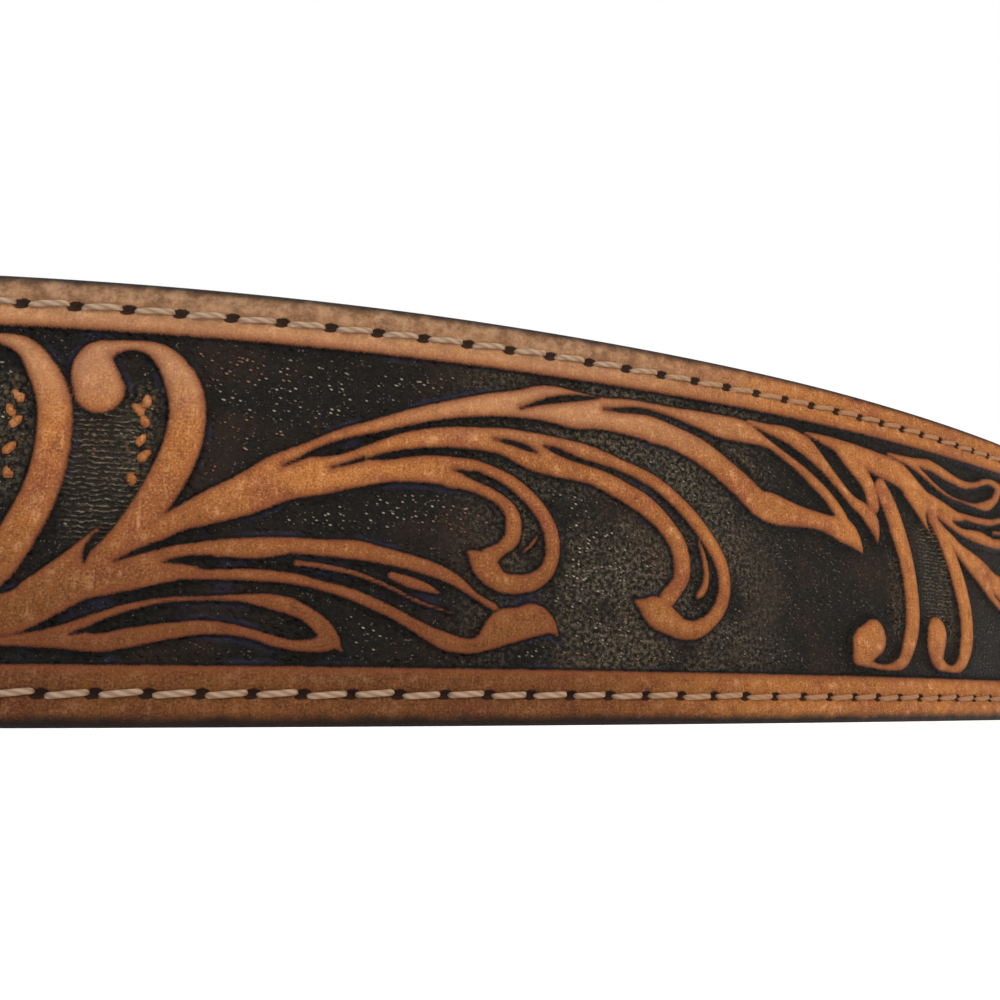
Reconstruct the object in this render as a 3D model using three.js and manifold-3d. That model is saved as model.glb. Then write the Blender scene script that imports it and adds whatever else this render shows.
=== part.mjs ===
// Western tooled belt, fastened and standing on its bottom edge. Millimetres, +Z up.
// The buckle is at the front (-Y). The origin is the centre of the belt's footprint.
import * as THREE from "three";
import { mergeVertices } from "three/addons/utils/BufferGeometryUtils.js";
import Module from "manifold-3d";

// Strap
const grainLoop = 932; // length of the closed loop along the outer, grain face
const strapWidth = 38;
const strapThickness = 3;
const edgeBevel = 0.6;
const clearance = 0.3; // gap kept between pieces and between layers of leather
const easing = 1; // short run left free beside the keeper, the nose bar, the fold and the field's ends
const stationStep = 11; // spacing of the strap's cross-sections

// Tooled field, a shallow sunk panel with the scroll work standing in it
const borderLow = 5;
const borderTop = 4.7;
const fieldDepth = 0.6;
const fieldBevel = 0.35;
const fieldMargin = 8; // plain leather between the field's ends and the tapers
const repeatLength = 97;
const patternAnchor = 150; // start of one repeat, measured from the back centre towards +X
const reliefDrop = 0.05; // tops of the scroll work below the grain face
const reliefRoot = 0.5; // how far the scroll work reaches into the leather under the field

// Distances along the belt from the prong hole, at the front centre
const buckleTaperFrom = 42;
const buckleTaperTo = 70;
const billetTaperFrom = 70;
const billetTaperTo = 105;
const tipReach = 130;
const tipLength = 22;
const flapReach = 60;
const foldThickness = 2;

// Holes
const holeCount = 5;
const holePitch = 25.4;
const holeDiameter = 5;

// Buckle
const heelOffset = 15; // heel bar, from the prong hole towards +X
const noseOffset = 25; // nose bar, from the prong hole towards -X
const heelBarRadius = 1.8;
const frameBar = 3.2;
const frameThickness = 3.4;
const noseBar = 6;
const noseCorner = 9;
const prongWidth = 3.2;
const prongThickness = 2.6;
const prongFlat = 0.5; // width of its flat top as a share of prongWidth
const prongShoulder = 0.6; // height of its rounded shoulders as a share of prongThickness

// Keeper
const keeperOffset = 34;
const keeperWidth = 12;
const keeperWall = 2;

const quarterTurn = 90; // degrees
const halfLoop = grainLoop / 2;
const billetWidth = strapWidth - 2 * (frameBar + clearance);
const flapGrain = strapThickness + clearance + foldThickness;
const billetRise = strapThickness + clearance;
const middle = strapWidth / 2;
const foldRadius = heelBarRadius + clearance + foldThickness;
const skiveLength = keeperOffset - keeperWidth / 2 - heelOffset - easing; // thinned leather
const heelCorner = frameBar / 2 + clearance;

// Plan of half the loop, from the back centre round to the front: radius as a share of grainLoop.
// The side arc takes up what is left of the half turn, and a straight closes the front.
const planArcs = [
  { part: "back", radius: 0.3385, turn: 9.08 },
  { part: "flank", radius: 0.2418, turn: 12.71 },
  { part: "hip", radius: 0.1819, turn: 20.28 },
  { part: "side", radius: null, turn: null },
  { part: "groin", radius: 0.1824, turn: 15.17 },
  { part: "belly", radius: 0.2414, turn: 12.73 },
];

// Outline of the tip: distance from the end as a share of tipLength, width as a share of billetWidth
const tipOutline = [
  { back: 0, width: 0.24 },
  { back: 0.06, width: 0.44 },
  { back: 0.24, width: 0.68 },
  { back: 0.55, width: 0.88 },
  { back: 1, width: 1 },
];

// Prong: along from the heel bar to past the nose bar as a share of their distance, and out from the
// heel bar's axis to the prong's place on the nose bar as a share of that rise
const prongLine = [
  { along: 0, out: 0 },
  { along: 0.14, out: 0.02 },
  { along: 0.25, out: 0.16 },
  { along: 0.36, out: 0.52 },
  { along: 0.46, out: 0.86 },
  { along: 0.58, out: 1.03 },
  { along: 0.8, out: 1.03 },
  { along: 1.1, out: 0.96 },
];

// One repeat of the scroll work, charted on 97 by 38 squares: 97 to a repeat, 38 to the strap's width.
// Each stroke is a row of stations: along the belt, up from the bottom edge, half width.
// Every second repeat is turned upside down.
const chartSquares = { along: 97, across: 38 };
const scrollWork = {
  crookFarBall: [[-1.2, 30.6, 1.1], [1.2, 29.4, 2.1], [3.8, 28.0, 1.0]],
  crookFar: [[2.5, 32.0, 0.8], [7.4, 31.3, 1.0], [10.1, 26.4, 1.45], [9.3, 18.6, 1.5], [5.6, 11.2, 1.3]],
  crookNearBall: [[14.0, 25.6, 1.0], [13.4, 28.4, 2.0], [13.0, 31.6, 1.0]],
  crookNear: [
    [13.2, 31.4, 0.9], [18.0, 31.7, 0.9], [20.8, 27.4, 1.5], [20.0, 21.9, 1.6], [17.0, 16.3, 1.3],
    [13.2, 11.6, 1.1],
  ],
  vine: [
    [-9, 6.5, 0.4], [0, 7.6, 1.2], [9, 9.3, 1.7], [16, 13.9, 1.2], [25, 19.0, 1.7], [34, 21.8, 1.6],
    [44, 22.85, 1.4],
  ],
  topBand: [
    [28.5, 22.9, 0.5], [40, 27.3, 0.8], [52, 30.2, 1.6], [60, 30.2, 1.7], [68, 29.2, 2.0],
    [75, 26.4, 1.4], [83, 22.5, 1.7], [96.2, 20.6, 0.8],
  ],
  bigLeaf: [[63, 31.7, 0.5], [76, 30.8, 1.3], [84, 28.9, 0.6], [92.8, 23.1, 0.9]],
  middleBand: [
    [34, 23.0, 0.6], [46, 26.15, 1.1], [56.5, 25.1, 2.0], [64, 24.4, 1.0], [70.6, 20.7, 0.9],
    [74.4, 15.4, 0.85], [73.4, 11.0, 0.85], [69.6, 9.2, 1.0], [64.7, 11.2, 0.6],
  ],
  smallCurl: [
    [44, 22.9, 1.3], [51, 21.9, 0.75], [54.3, 17.2, 0.8], [52.4, 13.1, 0.85], [48.6, 13.1, 1.1],
    [46.4, 15.2, 0.5],
  ],
  leafMid: [[12, 11.4, 1.3], [21, 13.4, 1.5], [33, 12.3, 0.6], [45, 7.2, 0.7], [51, 9.0, 1.5]],
  leafLow: [[8, 6.9, 0.5], [17, 7.1, 0.8], [25, 8.0, 0.6], [34.2, 6.8, 0.7]],
};

const wasm = await Module();
wasm.setup();

const lerp = THREE.MathUtils.lerp;
const smooth = THREE.MathUtils.smoothstep;

// The half loop's arcs with real radii, and the straight that closes the front
function closePlan() {
  let turnLeft = 2 * quarterTurn;
  for (const row of planArcs) turnLeft -= row.turn ?? 0;
  const arcs = planArcs.map(({ radius, turn }) => ({
    radius: radius === null ? null : radius * grainLoop,
    turn: THREE.MathUtils.degToRad(turn ?? turnLeft),
  }));
  // Run of an arc of unit radius beyond what it moves along the belt's width
  let heading = Math.PI;
  let needed = halfLoop;
  let sideRun = 0;
  for (const arc of arcs) {
    const excess = arc.turn - (Math.sin(heading + arc.turn) - Math.sin(heading));
    if (arc.radius === null) sideRun = excess;
    else needed -= arc.radius * excess;
    heading += arc.turn;
  }
  for (const arc of arcs) arc.radius ??= needed / sideRun;
  return arcs;
}

const halfPlan = closePlan();

// Point on the grain face's line and its outward normal, a distance round from the back centre,
// anticlockwise from above
function onLoop(distance) {
  let around = distance;
  if (around > halfLoop) around -= grainLoop;
  if (around < -halfLoop) around += grainLoop;
  const side = around < 0 ? -1 : 1;
  let left = Math.abs(around);
  let heading = Math.PI;
  let x = 0;
  let y = 0;
  for (const { radius, turn } of halfPlan) {
    const run = Math.min(left, radius * turn);
    const next = heading + run / radius;
    x += radius * (Math.sin(next) - Math.sin(heading));
    y += radius * (Math.cos(heading) - Math.cos(next));
    heading = next;
    left -= run;
  }
  x += left * Math.cos(heading);
  y += left * Math.sin(heading);
  return { x: side * x, y, outX: side * Math.sin(heading), outY: -Math.cos(heading) };
}

// World point from belt coordinates: round from the back centre, out from the grain face, up
function place(around, out, up) {
  const spot = onLoop(around);
  return new THREE.Vector3(spot.x + out * spot.outX, spot.y + out * spot.outY, up);
}

// The same near the buckle, with the distance measured from the prong hole towards +X
const atFront = (along, out, up) => place(halfLoop + along, out, up);

// Skin over rings of equal count. A closed loft joins the last ring to the first, an open one is capped.
function loft(rings, closed) {
  const count = rings[0].length;
  const index = [];
  const spans = closed ? rings.length : rings.length - 1;
  for (let i = 0; i < spans; i++) {
    const here = i * count;
    const there = ((i + 1) % rings.length) * count;
    for (let j = 0; j < count; j++) {
      const k = (j + 1) % count;
      index.push(here + j, here + k, there + k, here + j, there + k, there + j);
    }
  }
  if (!closed) {
    const last = (rings.length - 1) * count;
    for (let j = 1; j < count - 1; j++) {
      index.push(0, j + 1, j);
      index.push(last, last + j, last + j + 1);
    }
  }
  const geometry = new THREE.BufferGeometry().setFromPoints(rings.flat());
  geometry.setIndex(index);
  return faceOutward(geometry);
}

// Turns every face round if the closed surface is inside out
function faceOutward(geometry) {
  const position = geometry.getAttribute("position");
  const index = geometry.getIndex();
  const [a, b, c] = [new THREE.Vector3(), new THREE.Vector3(), new THREE.Vector3()];
  let volume = 0;
  for (let i = 0; i < index.count; i += 3) {
    a.fromBufferAttribute(position, index.getX(i));
    b.fromBufferAttribute(position, index.getX(i + 1));
    c.fromBufferAttribute(position, index.getX(i + 2));
    volume += a.dot(b.cross(c));
  }
  if (volume < 0) index.array.reverse();
  return geometry;
}

function toSolid(geometry) {
  const bare = new THREE.BufferGeometry();
  bare.setAttribute("position", geometry.getAttribute("position"));
  bare.setIndex(geometry.getIndex());
  const merged = mergeVertices(bare, 1e-4);
  return new wasm.Manifold(
    new wasm.Mesh({
      numProp: 3,
      vertProperties: merged.getAttribute("position").array,
      triVerts: new Uint32Array(merged.getIndex().array),
    }),
  );
}

function toGeometry(solid) {
  const { vertProperties, triVerts } = solid.getMesh();
  const geometry = new THREE.BufferGeometry();
  geometry.setAttribute("position", new THREE.BufferAttribute(vertProperties, 3));
  geometry.setIndex(new THREE.BufferAttribute(triVerts, 1));
  return geometry;
}

// Width of the strap at a distance from the prong hole, along the belt towards +X
function widthAt(along) {
  const fromTip = tipReach - along;
  if (fromTip < tipLength) {
    const share = fromTip / tipLength;
    const row = tipOutline.findIndex(({ back }) => back >= share);
    if (row < 1) return billetWidth * tipOutline[0].width;
    const [near, far] = [tipOutline[row - 1], tipOutline[row]];
    return billetWidth * lerp(near.width, far.width, (share - near.back) / (far.back - near.back));
  }
  if (along > -billetTaperFrom) return billetWidth;
  if (along > -billetTaperTo) {
    return lerp(strapWidth, billetWidth, smooth(along, -billetTaperTo, -billetTaperFrom));
  }
  const fromFold = along + grainLoop;
  return lerp(billetWidth, strapWidth, smooth(fromFold, buckleTaperFrom, buckleTaperTo));
}

const fieldStart = -halfLoop + buckleTaperTo + fieldMargin;
const fieldEnd = halfLoop - billetTaperTo - fieldMargin;

// Cross-section of the strap at one station, counted from its bottom edge round the grain face
function strapSection({ width, thickness, depth }) {
  const low = middle - width / 2;
  const top = middle + width / 2;
  return [
    { up: low, in: thickness - edgeBevel },
    { up: low, in: edgeBevel },
    { up: low + edgeBevel, in: 0 },
    { up: low + borderLow, in: 0 },
    { up: low + borderLow + fieldBevel, in: depth },
    { up: top - borderTop - fieldBevel, in: depth },
    { up: top - borderTop, in: 0 },
    { up: top - edgeBevel, in: 0 },
    { up: top, in: edgeBevel },
    { up: top, in: thickness - edgeBevel },
    { up: top - edgeBevel, in: thickness },
    { up: low + edgeBevel, in: thickness },
  ];
}

// Section of a part of the strap that lies at an angle, such as the fold. The grain point is given by
// the distance from the prong hole and out from the grain face, its normal by two components.
function frontRing({ along, out, normalAlong, normalOut, width, thickness }) {
  return strapSection({ width: Math.min(width, billetWidth), thickness, depth: 0 }).map((point) =>
    atFront(along - point.in * normalAlong, out - point.in * normalOut, squeezed(point.up, width)),
  );
}

// Keeps a narrow section's border points in order
function squeezed(up, width) {
  return THREE.MathUtils.clamp(up, middle - width / 2, middle + width / 2);
}

// Turned-back flap inside the strap, then the fold round the heel bar
function flapAndFold() {
  const rings = [];
  const flapSteps = 8;
  const foldSteps = 9;
  const axisOut = -(foldThickness + clearance + heelBarRadius);
  for (let i = 0; i < flapSteps; i++) {
    const along = lerp(flapReach, heelOffset, i / flapSteps);
    const down = smooth(heelOffset + skiveLength - along, 0, skiveLength);
    rings.push(
      frontRing({
        along,
        out: lerp(-flapGrain, axisOut - foldRadius, down),
        normalAlong: 0,
        normalOut: -1,
        width: billetWidth,
        thickness: foldThickness,
      }),
    );
  }
  for (let i = 0; i < foldSteps; i++) {
    const angle = lerp(-Math.PI / 2, Math.PI / 2, i / foldSteps);
    const normalAlong = -Math.cos(angle);
    const normalOut = Math.sin(angle);
    rings.push(
      frontRing({
        along: heelOffset + foldRadius * normalAlong,
        out: axisOut + foldRadius * normalOut,
        normalAlong,
        normalOut,
        width: billetWidth,
        thickness: foldThickness,
      }),
    );
  }
  return rings;
}

// Distances from the back centre of the strap's cross-sections, from the fold round to the tip
function strapStations() {
  const first = -halfLoop + heelOffset;
  const last = halfLoop + tipReach;
  const special = [
    first,
    fieldStart,
    fieldStart + fieldBevel,
    fieldEnd - fieldBevel,
    fieldEnd,
    ...tipOutline.map(({ back }) => last - back * tipLength),
  ];
  const count = Math.round((last - first) / stationStep);
  for (let i = 1; i < count; i++) {
    const regular = lerp(first, last, i / count);
    if (special.every((other) => Math.abs(other - regular) > stationStep / 4)) special.push(regular);
  }
  return special.sort((a, b) => a - b);
}

// How far the billet stands out from the loop's line where it passes over the fold
function billetOut(along) {
  const riseFrom = -noseOffset + noseCorner - easing;
  const riseTo = heelOffset - foldRadius - 2 * clearance;
  return billetRise * smooth(along, riseFrom, riseTo);
}

function strapRing(around) {
  const along = around - halfLoop;
  const out = billetOut(along);
  const fromHeel = around + halfLoop - heelOffset;
  const thickness = lerp(foldThickness, strapThickness, smooth(fromHeel, 0, skiveLength));
  const inField = around > fieldStart + fieldBevel / 2 && around < fieldEnd - fieldBevel / 2;
  const width = widthAt(along);
  const depth = inField ? fieldDepth : 0;
  const section = strapSection({ width: Math.max(width, billetWidth), thickness, depth });
  return section.map((point) => place(around, out - point.in, squeezed(point.up, width)));
}

// One stroke of the scroll work as a closed bar that follows the strap's curve
function strokeSolid(stations, start, upsideDown) {
  const line = stations.map(([along, up, half]) => {
    const height = (up * strapWidth) / chartSquares.across;
    return {
      around: start + (along * repeatLength) / chartSquares.along,
      up: upsideDown ? borderLow + strapWidth - borderTop - height : height,
      half: (half * strapWidth) / chartSquares.across,
    };
  });
  const rings = line.map((spot, i) => {
    const before = line[Math.max(i - 1, 0)];
    const after = line[Math.min(i + 1, line.length - 1)];
    const run = Math.hypot(after.around - before.around, after.up - before.up);
    const sideAround = (-(after.up - before.up) / run) * spot.half;
    const sideUp = ((after.around - before.around) / run) * spot.half;
    return [
      place(spot.around + sideAround, -reliefDrop, spot.up + sideUp),
      place(spot.around - sideAround, -reliefDrop, spot.up - sideUp),
      place(spot.around - sideAround, -fieldDepth - reliefRoot, spot.up - sideUp),
      place(spot.around + sideAround, -fieldDepth - reliefRoot, spot.up + sideUp),
    ];
  });
  return toSolid(loft(rings, false));
}

// Adds every stroke that lies wholly inside the field
function addScrollWork(strap) {
  let relief = strap;
  const firstRepeat = Math.floor((fieldStart + patternAnchor) / repeatLength);
  const lastRepeat = Math.ceil((fieldEnd + patternAnchor) / repeatLength);
  for (let repeat = firstRepeat; repeat <= lastRepeat; repeat++) {
    const start = repeat * repeatLength - patternAnchor;
    for (const stations of Object.values(scrollWork)) {
      const ends = stations.map(([along]) => start + (along * repeatLength) / chartSquares.along);
      if (Math.min(...ends) < fieldStart + easing || Math.max(...ends) > fieldEnd - easing) continue;
      relief = relief.add(strokeSolid(stations, start, repeat % 2 !== 0));
    }
  }
  return relief;
}

// A block in belt coordinates near the buckle
function frontBlock([alongFrom, alongTo], [outFrom, outTo], [upFrom, upTo]) {
  const ring = (along) => [
    atFront(along, outFrom, upFrom),
    atFront(along, outTo, upFrom),
    atFront(along, outTo, upTo),
    atFront(along, outFrom, upTo),
  ];
  return toSolid(loft([ring(alongFrom), ring(alongTo)], false));
}

// Round cutter through the billet at one hole
function holeCutter(along) {
  const sides = 12;
  const grain = billetOut(along);
  const reach = clearance / 2;
  const ring = (out) =>
    Array.from({ length: sides }, (_, i) => {
      const angle = (2 * Math.PI * i) / sides;
      const radius = holeDiameter / 2;
      return atFront(along + radius * Math.cos(angle), out, middle + radius * Math.sin(angle));
    });
  return toSolid(loft([ring(grain - strapThickness - reach), ring(grain + strapThickness)], false));
}

const noseAxis = clearance + frameThickness / 2; // nose bar's axis, out from the grain face
const heelAxis = -(foldThickness + clearance + heelBarRadius);

// Prong, or with a margin the room that it needs in the leather
function prongSolid(margin) {
  const restOut = noseAxis + frameThickness / 2 + prongThickness / 2 - clearance;
  const line = prongLine.map(({ along, out }) => ({
    along: lerp(heelOffset, -noseOffset, along),
    out: lerp(heelAxis, restOut, out),
  }));
  const halfWidth = prongWidth / 2 + margin;
  const halfThickness = prongThickness / 2 + margin;
  const rings = line.map((spot, i) => {
    const before = line[Math.max(i - 1, 0)];
    const after = line[Math.min(i + 1, line.length - 1)];
    const run = Math.hypot(after.along - before.along, after.out - before.out);
    const offAlong = (-(after.out - before.out) / run) * halfThickness;
    const offOut = ((after.along - before.along) / run) * halfThickness;
    const flat = halfWidth * prongFlat;
    return [
      [1, flat], [prongShoulder, halfWidth], [-prongShoulder, halfWidth], [-1, flat],
      [-1, -flat], [-prongShoulder, -halfWidth], [prongShoulder, -halfWidth], [1, -flat],
    ].map(([off, up]) => atFront(spot.along + off * offAlong, spot.out + off * offOut, middle + up));
  });
  return toSolid(loft(rings, false));
}

function makeStrap() {
  const rings = [...flapAndFold(), ...strapStations().map(strapRing)];
  let strap = addScrollWork(toSolid(loft(rings, false)));
  for (let i = 0; i < holeCount; i++) {
    strap = strap.subtract(holeCutter((i - (holeCount - 1) / 2) * holePitch));
  }
  const slotHalf = prongWidth / 2 + 2 * clearance;
  const slot = frontBlock(
    [heelOffset - foldRadius - easing, heelOffset + 2 * foldRadius],
    [heelAxis - 2 * foldRadius, clearance / 2],
    [middle - slotHalf, middle + slotHalf],
  );
  return toGeometry(strap.subtract(slot).subtract(prongSolid(clearance)));
}

// Centreline of the buckle frame with the outward direction at each point, in the plane of the buckle
function frameLine() {
  const edge = frameBar / 2;
  const [low, high] = [edge, strapWidth - edge];
  const line = [];
  const arc = (along, up, radius, from, steps) => {
    for (let i = 0; i <= steps; i++) {
      const angle = THREE.MathUtils.degToRad(from + (quarterTurn * i) / steps);
      const normal = { along: Math.cos(angle), up: Math.sin(angle) };
      line.push({ along: along + radius * normal.along, up: up + radius * normal.up, normal });
    }
  };
  const sideBar = (from, to, up, normalUp) => {
    const steps = 6;
    for (let i = 1; i < steps; i++) {
      line.push({ along: lerp(from, to, i / steps), up, normal: { along: 0, up: normalUp } });
    }
  };
  const heel = heelOffset - heelCorner;
  const nose = -noseOffset + noseCorner;
  const [heelSteps, noseSteps] = [2, 5];
  arc(heel, low + heelCorner, heelCorner, 3 * quarterTurn, heelSteps);
  arc(heel, high - heelCorner, heelCorner, 0, heelSteps);
  sideBar(heel, nose, high, 1);
  arc(nose, high - noseCorner, noseCorner, quarterTurn, noseSteps);
  arc(nose, low + noseCorner, noseCorner, 2 * quarterTurn, noseSteps);
  sideBar(nose, heel, low, -1);
  return line;
}

// Buckle frame: one loop of bar, low at the heel where the fold holds it, high over the billet at the nose
function frameSolid() {
  const sides = 8;
  const cornerReach = 1 / Math.cos(Math.PI / sides);
  const rings = frameLine().map(({ along, up, normal }) => {
    const towardsNose = smooth(-along, heelCorner - heelOffset, noseOffset - noseCorner);
    const onNose = smooth(-along, noseOffset - noseCorner, noseOffset);
    const onHeel = smooth(along, heelOffset - heelCorner, heelOffset);
    const axis = lerp(heelAxis, noseAxis, towardsNose);
    const halfWidth = lerp(lerp(frameBar / 2, noseBar / 2, onNose), heelBarRadius, onHeel);
    const halfThickness = lerp(frameThickness / 2, heelBarRadius, onHeel);
    return Array.from({ length: sides }, (_, j) => {
      const angle = (2 * Math.PI * (j + 0.5)) / sides;
      const reach = halfWidth * Math.cos(angle) * cornerReach;
      const lift = halfThickness * Math.sin(angle) * cornerReach;
      return atFront(along + normal.along * reach, axis + lift, up + normal.up * reach);
    });
  });
  return toSolid(loft(rings, true));
}

function makeBuckle() {
  return toGeometry(frameSolid().add(prongSolid(0)));
}

// Keeper: a loop of leather round the flap, the strap and the billet
function makeKeeper() {
  const low = middle - billetWidth / 2 - clearance;
  const high = middle + billetWidth / 2 + clearance;
  const inside = -(flapGrain + clearance);
  const outside = billetRise + clearance;
  const corners = [
    { out: outside, up: high, from: 0 },
    { out: inside, up: high, from: quarterTurn },
    { out: inside, up: low, from: 2 * quarterTurn },
    { out: outside, up: low, from: 3 * quarterTurn },
  ];
  const cornerSteps = 3;
  const rings = corners.flatMap(({ out, up, from }) =>
    Array.from({ length: cornerSteps + 1 }, (_, i) => {
      const angle = THREE.MathUtils.degToRad(from + (quarterTurn * i) / cornerSteps);
      const ringPoint = (along, wall) =>
        atFront(keeperOffset + along, out + wall * Math.cos(angle), up + wall * Math.sin(angle));
      const half = keeperWidth / 2;
      const bevelled = half - edgeBevel;
      return [
        ringPoint(-half, 0),
        ringPoint(-half, keeperWall - edgeBevel),
        ringPoint(-bevelled, keeperWall),
        ringPoint(bevelled, keeperWall),
        ringPoint(half, keeperWall - edgeBevel),
        ringPoint(half, 0),
      ];
    }),
  );
  return toGeometry(toSolid(loft(rings, true)));
}

const tanLeather = new THREE.MeshStandardMaterial({ color: 0xb07646, roughness: 0.6, metalness: 0 });
const nickel = new THREE.MeshStandardMaterial({ color: 0xb9b4aa, roughness: 0.35, metalness: 1 });
const brownLeather = new THREE.MeshStandardMaterial({ color: 0x9a6238, roughness: 0.6, metalness: 0 });

function piece(name, geometry, material) {
  const mesh = new THREE.Mesh(geometry, material);
  mesh.name = name;
  return mesh;
}

const loop = new THREE.Group();
loop.add(
  piece("strap", makeStrap(), tanLeather),
  piece("buckle", makeBuckle(), nickel),
  piece("keeper", makeKeeper(), brownLeather),
);
const extent = new THREE.Box3().setFromObject(loop);
const centre = extent.getCenter(new THREE.Vector3());
loop.position.set(-centre.x, -centre.y, -extent.min.z);

const belt = new THREE.Group();
belt.add(loop);

export default belt;
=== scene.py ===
import math

import bmesh
import bpy
import numpy as np
from mathutils import Matrix, Vector


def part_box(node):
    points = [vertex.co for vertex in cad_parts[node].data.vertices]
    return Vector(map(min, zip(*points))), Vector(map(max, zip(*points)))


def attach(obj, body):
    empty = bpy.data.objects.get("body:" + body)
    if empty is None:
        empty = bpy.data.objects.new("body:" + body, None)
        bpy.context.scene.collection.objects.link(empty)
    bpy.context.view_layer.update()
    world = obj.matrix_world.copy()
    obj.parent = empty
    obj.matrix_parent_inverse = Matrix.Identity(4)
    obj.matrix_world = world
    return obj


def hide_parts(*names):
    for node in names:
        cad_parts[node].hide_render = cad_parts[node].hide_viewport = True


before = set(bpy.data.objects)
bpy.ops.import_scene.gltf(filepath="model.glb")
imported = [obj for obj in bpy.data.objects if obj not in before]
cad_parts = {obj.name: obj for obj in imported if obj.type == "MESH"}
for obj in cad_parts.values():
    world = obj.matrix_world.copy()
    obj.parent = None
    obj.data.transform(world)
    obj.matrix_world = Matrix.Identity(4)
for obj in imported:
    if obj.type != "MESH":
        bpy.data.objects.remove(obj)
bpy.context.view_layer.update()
MM = 0.001

# Strap, as in the solids
GRAIN_LOOP = 932.0
HALF_LOOP = GRAIN_LOOP / 2
STRAP_WIDTH = 38.0
STRAP_THICKNESS = 3.0
FOLD_THICKNESS = 2.0
CLEARANCE = 0.3
BORDER_LOW = 5.0
BORDER_TOP = 4.7
FIELD_MARGIN = 8.0
FIELD_DEPTH = 0.62
REPEAT = 97.0
PATTERN_ANCHOR = 150.0
BUCKLE_TAPER = (42.0, 70.0)
BILLET_TAPER = (70.0, 105.0)
TIP_REACH = 130.0
TIP_LENGTH = 22.0
FLAP_REACH = 60.0
HOLE_COUNT = 5
HOLE_PITCH = 25.4
HOLE_DIAMETER = 5.0
WORN_HOLE = 1.9  # stretch of the hole in use, drawn out by the prong
HEEL_OFFSET = 15.0
NOSE_OFFSET = 25.0
HEEL_BAR_RADIUS = 1.8
FRAME_BAR = 3.2
FRAME_THICKNESS = 3.4
NOSE_BAR = 6.0
NOSE_CORNER = 9.0
PRONG_WIDTH = 3.2
PRONG_THICKNESS = 2.6
KEEPER_OFFSET = 34.0
KEEPER_WIDTH = 12.0
KEEPER_WALL = 2.0
MIDDLE = STRAP_WIDTH / 2
BILLET_WIDTH = STRAP_WIDTH - 2 * (FRAME_BAR + CLEARANCE)
BILLET_RISE = STRAP_THICKNESS + CLEARANCE
FLAP_GRAIN = STRAP_THICKNESS + CLEARANCE + FOLD_THICKNESS
FOLD_RADIUS = HEEL_BAR_RADIUS + CLEARANCE + FOLD_THICKNESS
HEEL_AXIS = -(FOLD_THICKNESS + CLEARANCE + HEEL_BAR_RADIUS)
NOSE_AXIS = CLEARANCE + FRAME_THICKNESS / 2
HEEL_CORNER = FRAME_BAR / 2 + CLEARANCE
SKIVE = KEEPER_OFFSET - KEEPER_WIDTH / 2 - HEEL_OFFSET - 1
FIELD_START = -HALF_LOOP + BUCKLE_TAPER[1] + FIELD_MARGIN
FIELD_END = HALF_LOOP - BILLET_TAPER[1] - FIELD_MARGIN

# Plan of half the loop from the back centre: radius as a share of GRAIN_LOOP, turn in degrees
PLAN_ARCS = [
    (0.3385, 9.08), (0.2418, 12.71), (0.1819, 20.28), (None, None), (0.1824, 15.17), (0.2414, 12.73),
]
TIP_OUTLINE = ([0, 0.02, 0.06, 0.14, 0.3, 0.55, 1], [0.2, 0.33, 0.44, 0.57, 0.73, 0.88, 1])
PRONG_LINE = ([0, 0.14, 0.25, 0.36, 0.46, 0.58, 0.8, 1.1], [0, 0.02, 0.16, 0.52, 0.86, 1.03, 1.03, 0.96])

FRAME_SQUARENESS = 0.72  # power of the bar's rounded section, 1 for an ellipse
PRONG_SQUARENESS = 0.75
PRONG_TIP = (1.04, 0.061)  # share of the prong's way where its end starts to round, and over how much
PRONG_TAPER = ([0, 0.6, 1.1], [1.0, 0.94, 0.72])
KEEPER_CREASE = (1.9, 0.22, 0.35)  # inset from the edge, depth and half width

# Seams
STITCH_INSET = 2.7
STITCH_LENGTH = 3.45
THREAD_RADIUS = 0.29
SEAM_LOW = {"up": STITCH_INSET, "pitch": 4.11, "hole": -139.1}
SEAM_TOP = {"up": STRAP_WIDTH - STITCH_INSET, "pitch": 4.34, "hole": -143.35}
SEAM_START_GAP = 12.0  # from the heel bar
SEAM_END_GAP = 13.0  # from the tip
SEAM_FROM = -HALF_LOOP + HEEL_OFFSET + SEAM_START_GAP
SEAM_TO = HALF_LOOP + TIP_REACH - SEAM_END_GAP
STITCH_SLANT = 0.13  # rise of half a stitch, with how much it strays and how much the stitch shifts
SLANT_STRAY = 0.04
STITCH_STRAY = 0.07
GROOVE = (0.14, 0.5)  # depth and half width of the groove that the thread lies in
AWL_HOLE = (0.45, 0.72, 0.44)  # depth, half length and half height
AWL_LEAN = 0.12
AWL_SHADE = (0.55, 1.45)  # of the hole's half sizes, where its painted shade fades out
SEAM_FADE = 3.0
FACE_SINK = 0.12  # of the stitches into the face
BACK_SINK = 0.05

# Carved face. Each pair is a drop or rise and the run over which it fades
SHOULDER = (0.08, 0.2)  # of a tan form at its very edge
SWELL = (0.24, 1.1)  # of a tan form's whole rounding
GROUND_RISE = (0.14, 0.9)
WALL_RUN = 0.32
FOOT_DROP = 0.08
BEAD_RISE = 0.4
BEAD_RADIUS = 0.55
BEAD_LEAN = 0.25
PATCH_FADE = 0.9
PLAIN = 3.0  # distance that stands for leather far from any carved edge
PLAIN_FROM = 2.5
REACH = 1.8  # how far from a stroke its distance is still worked out
EDGE_RADIUS = 1.15
BACK_EDGE_RADIUS = 0.7
FIELD_SLACK = 0.35  # how far the fine rows run past the field

# Burnished edges: how far from each corner of the section, round it, the dark starts and ends its fade
RIM_LOW = (2.1, 0.9)
RIM_TOP = (2.0, 0.9)
RIM_BACK_TOP = (2.2, 3.4)
RIM_BACK_LOW = (3.0, 1.6)

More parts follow.
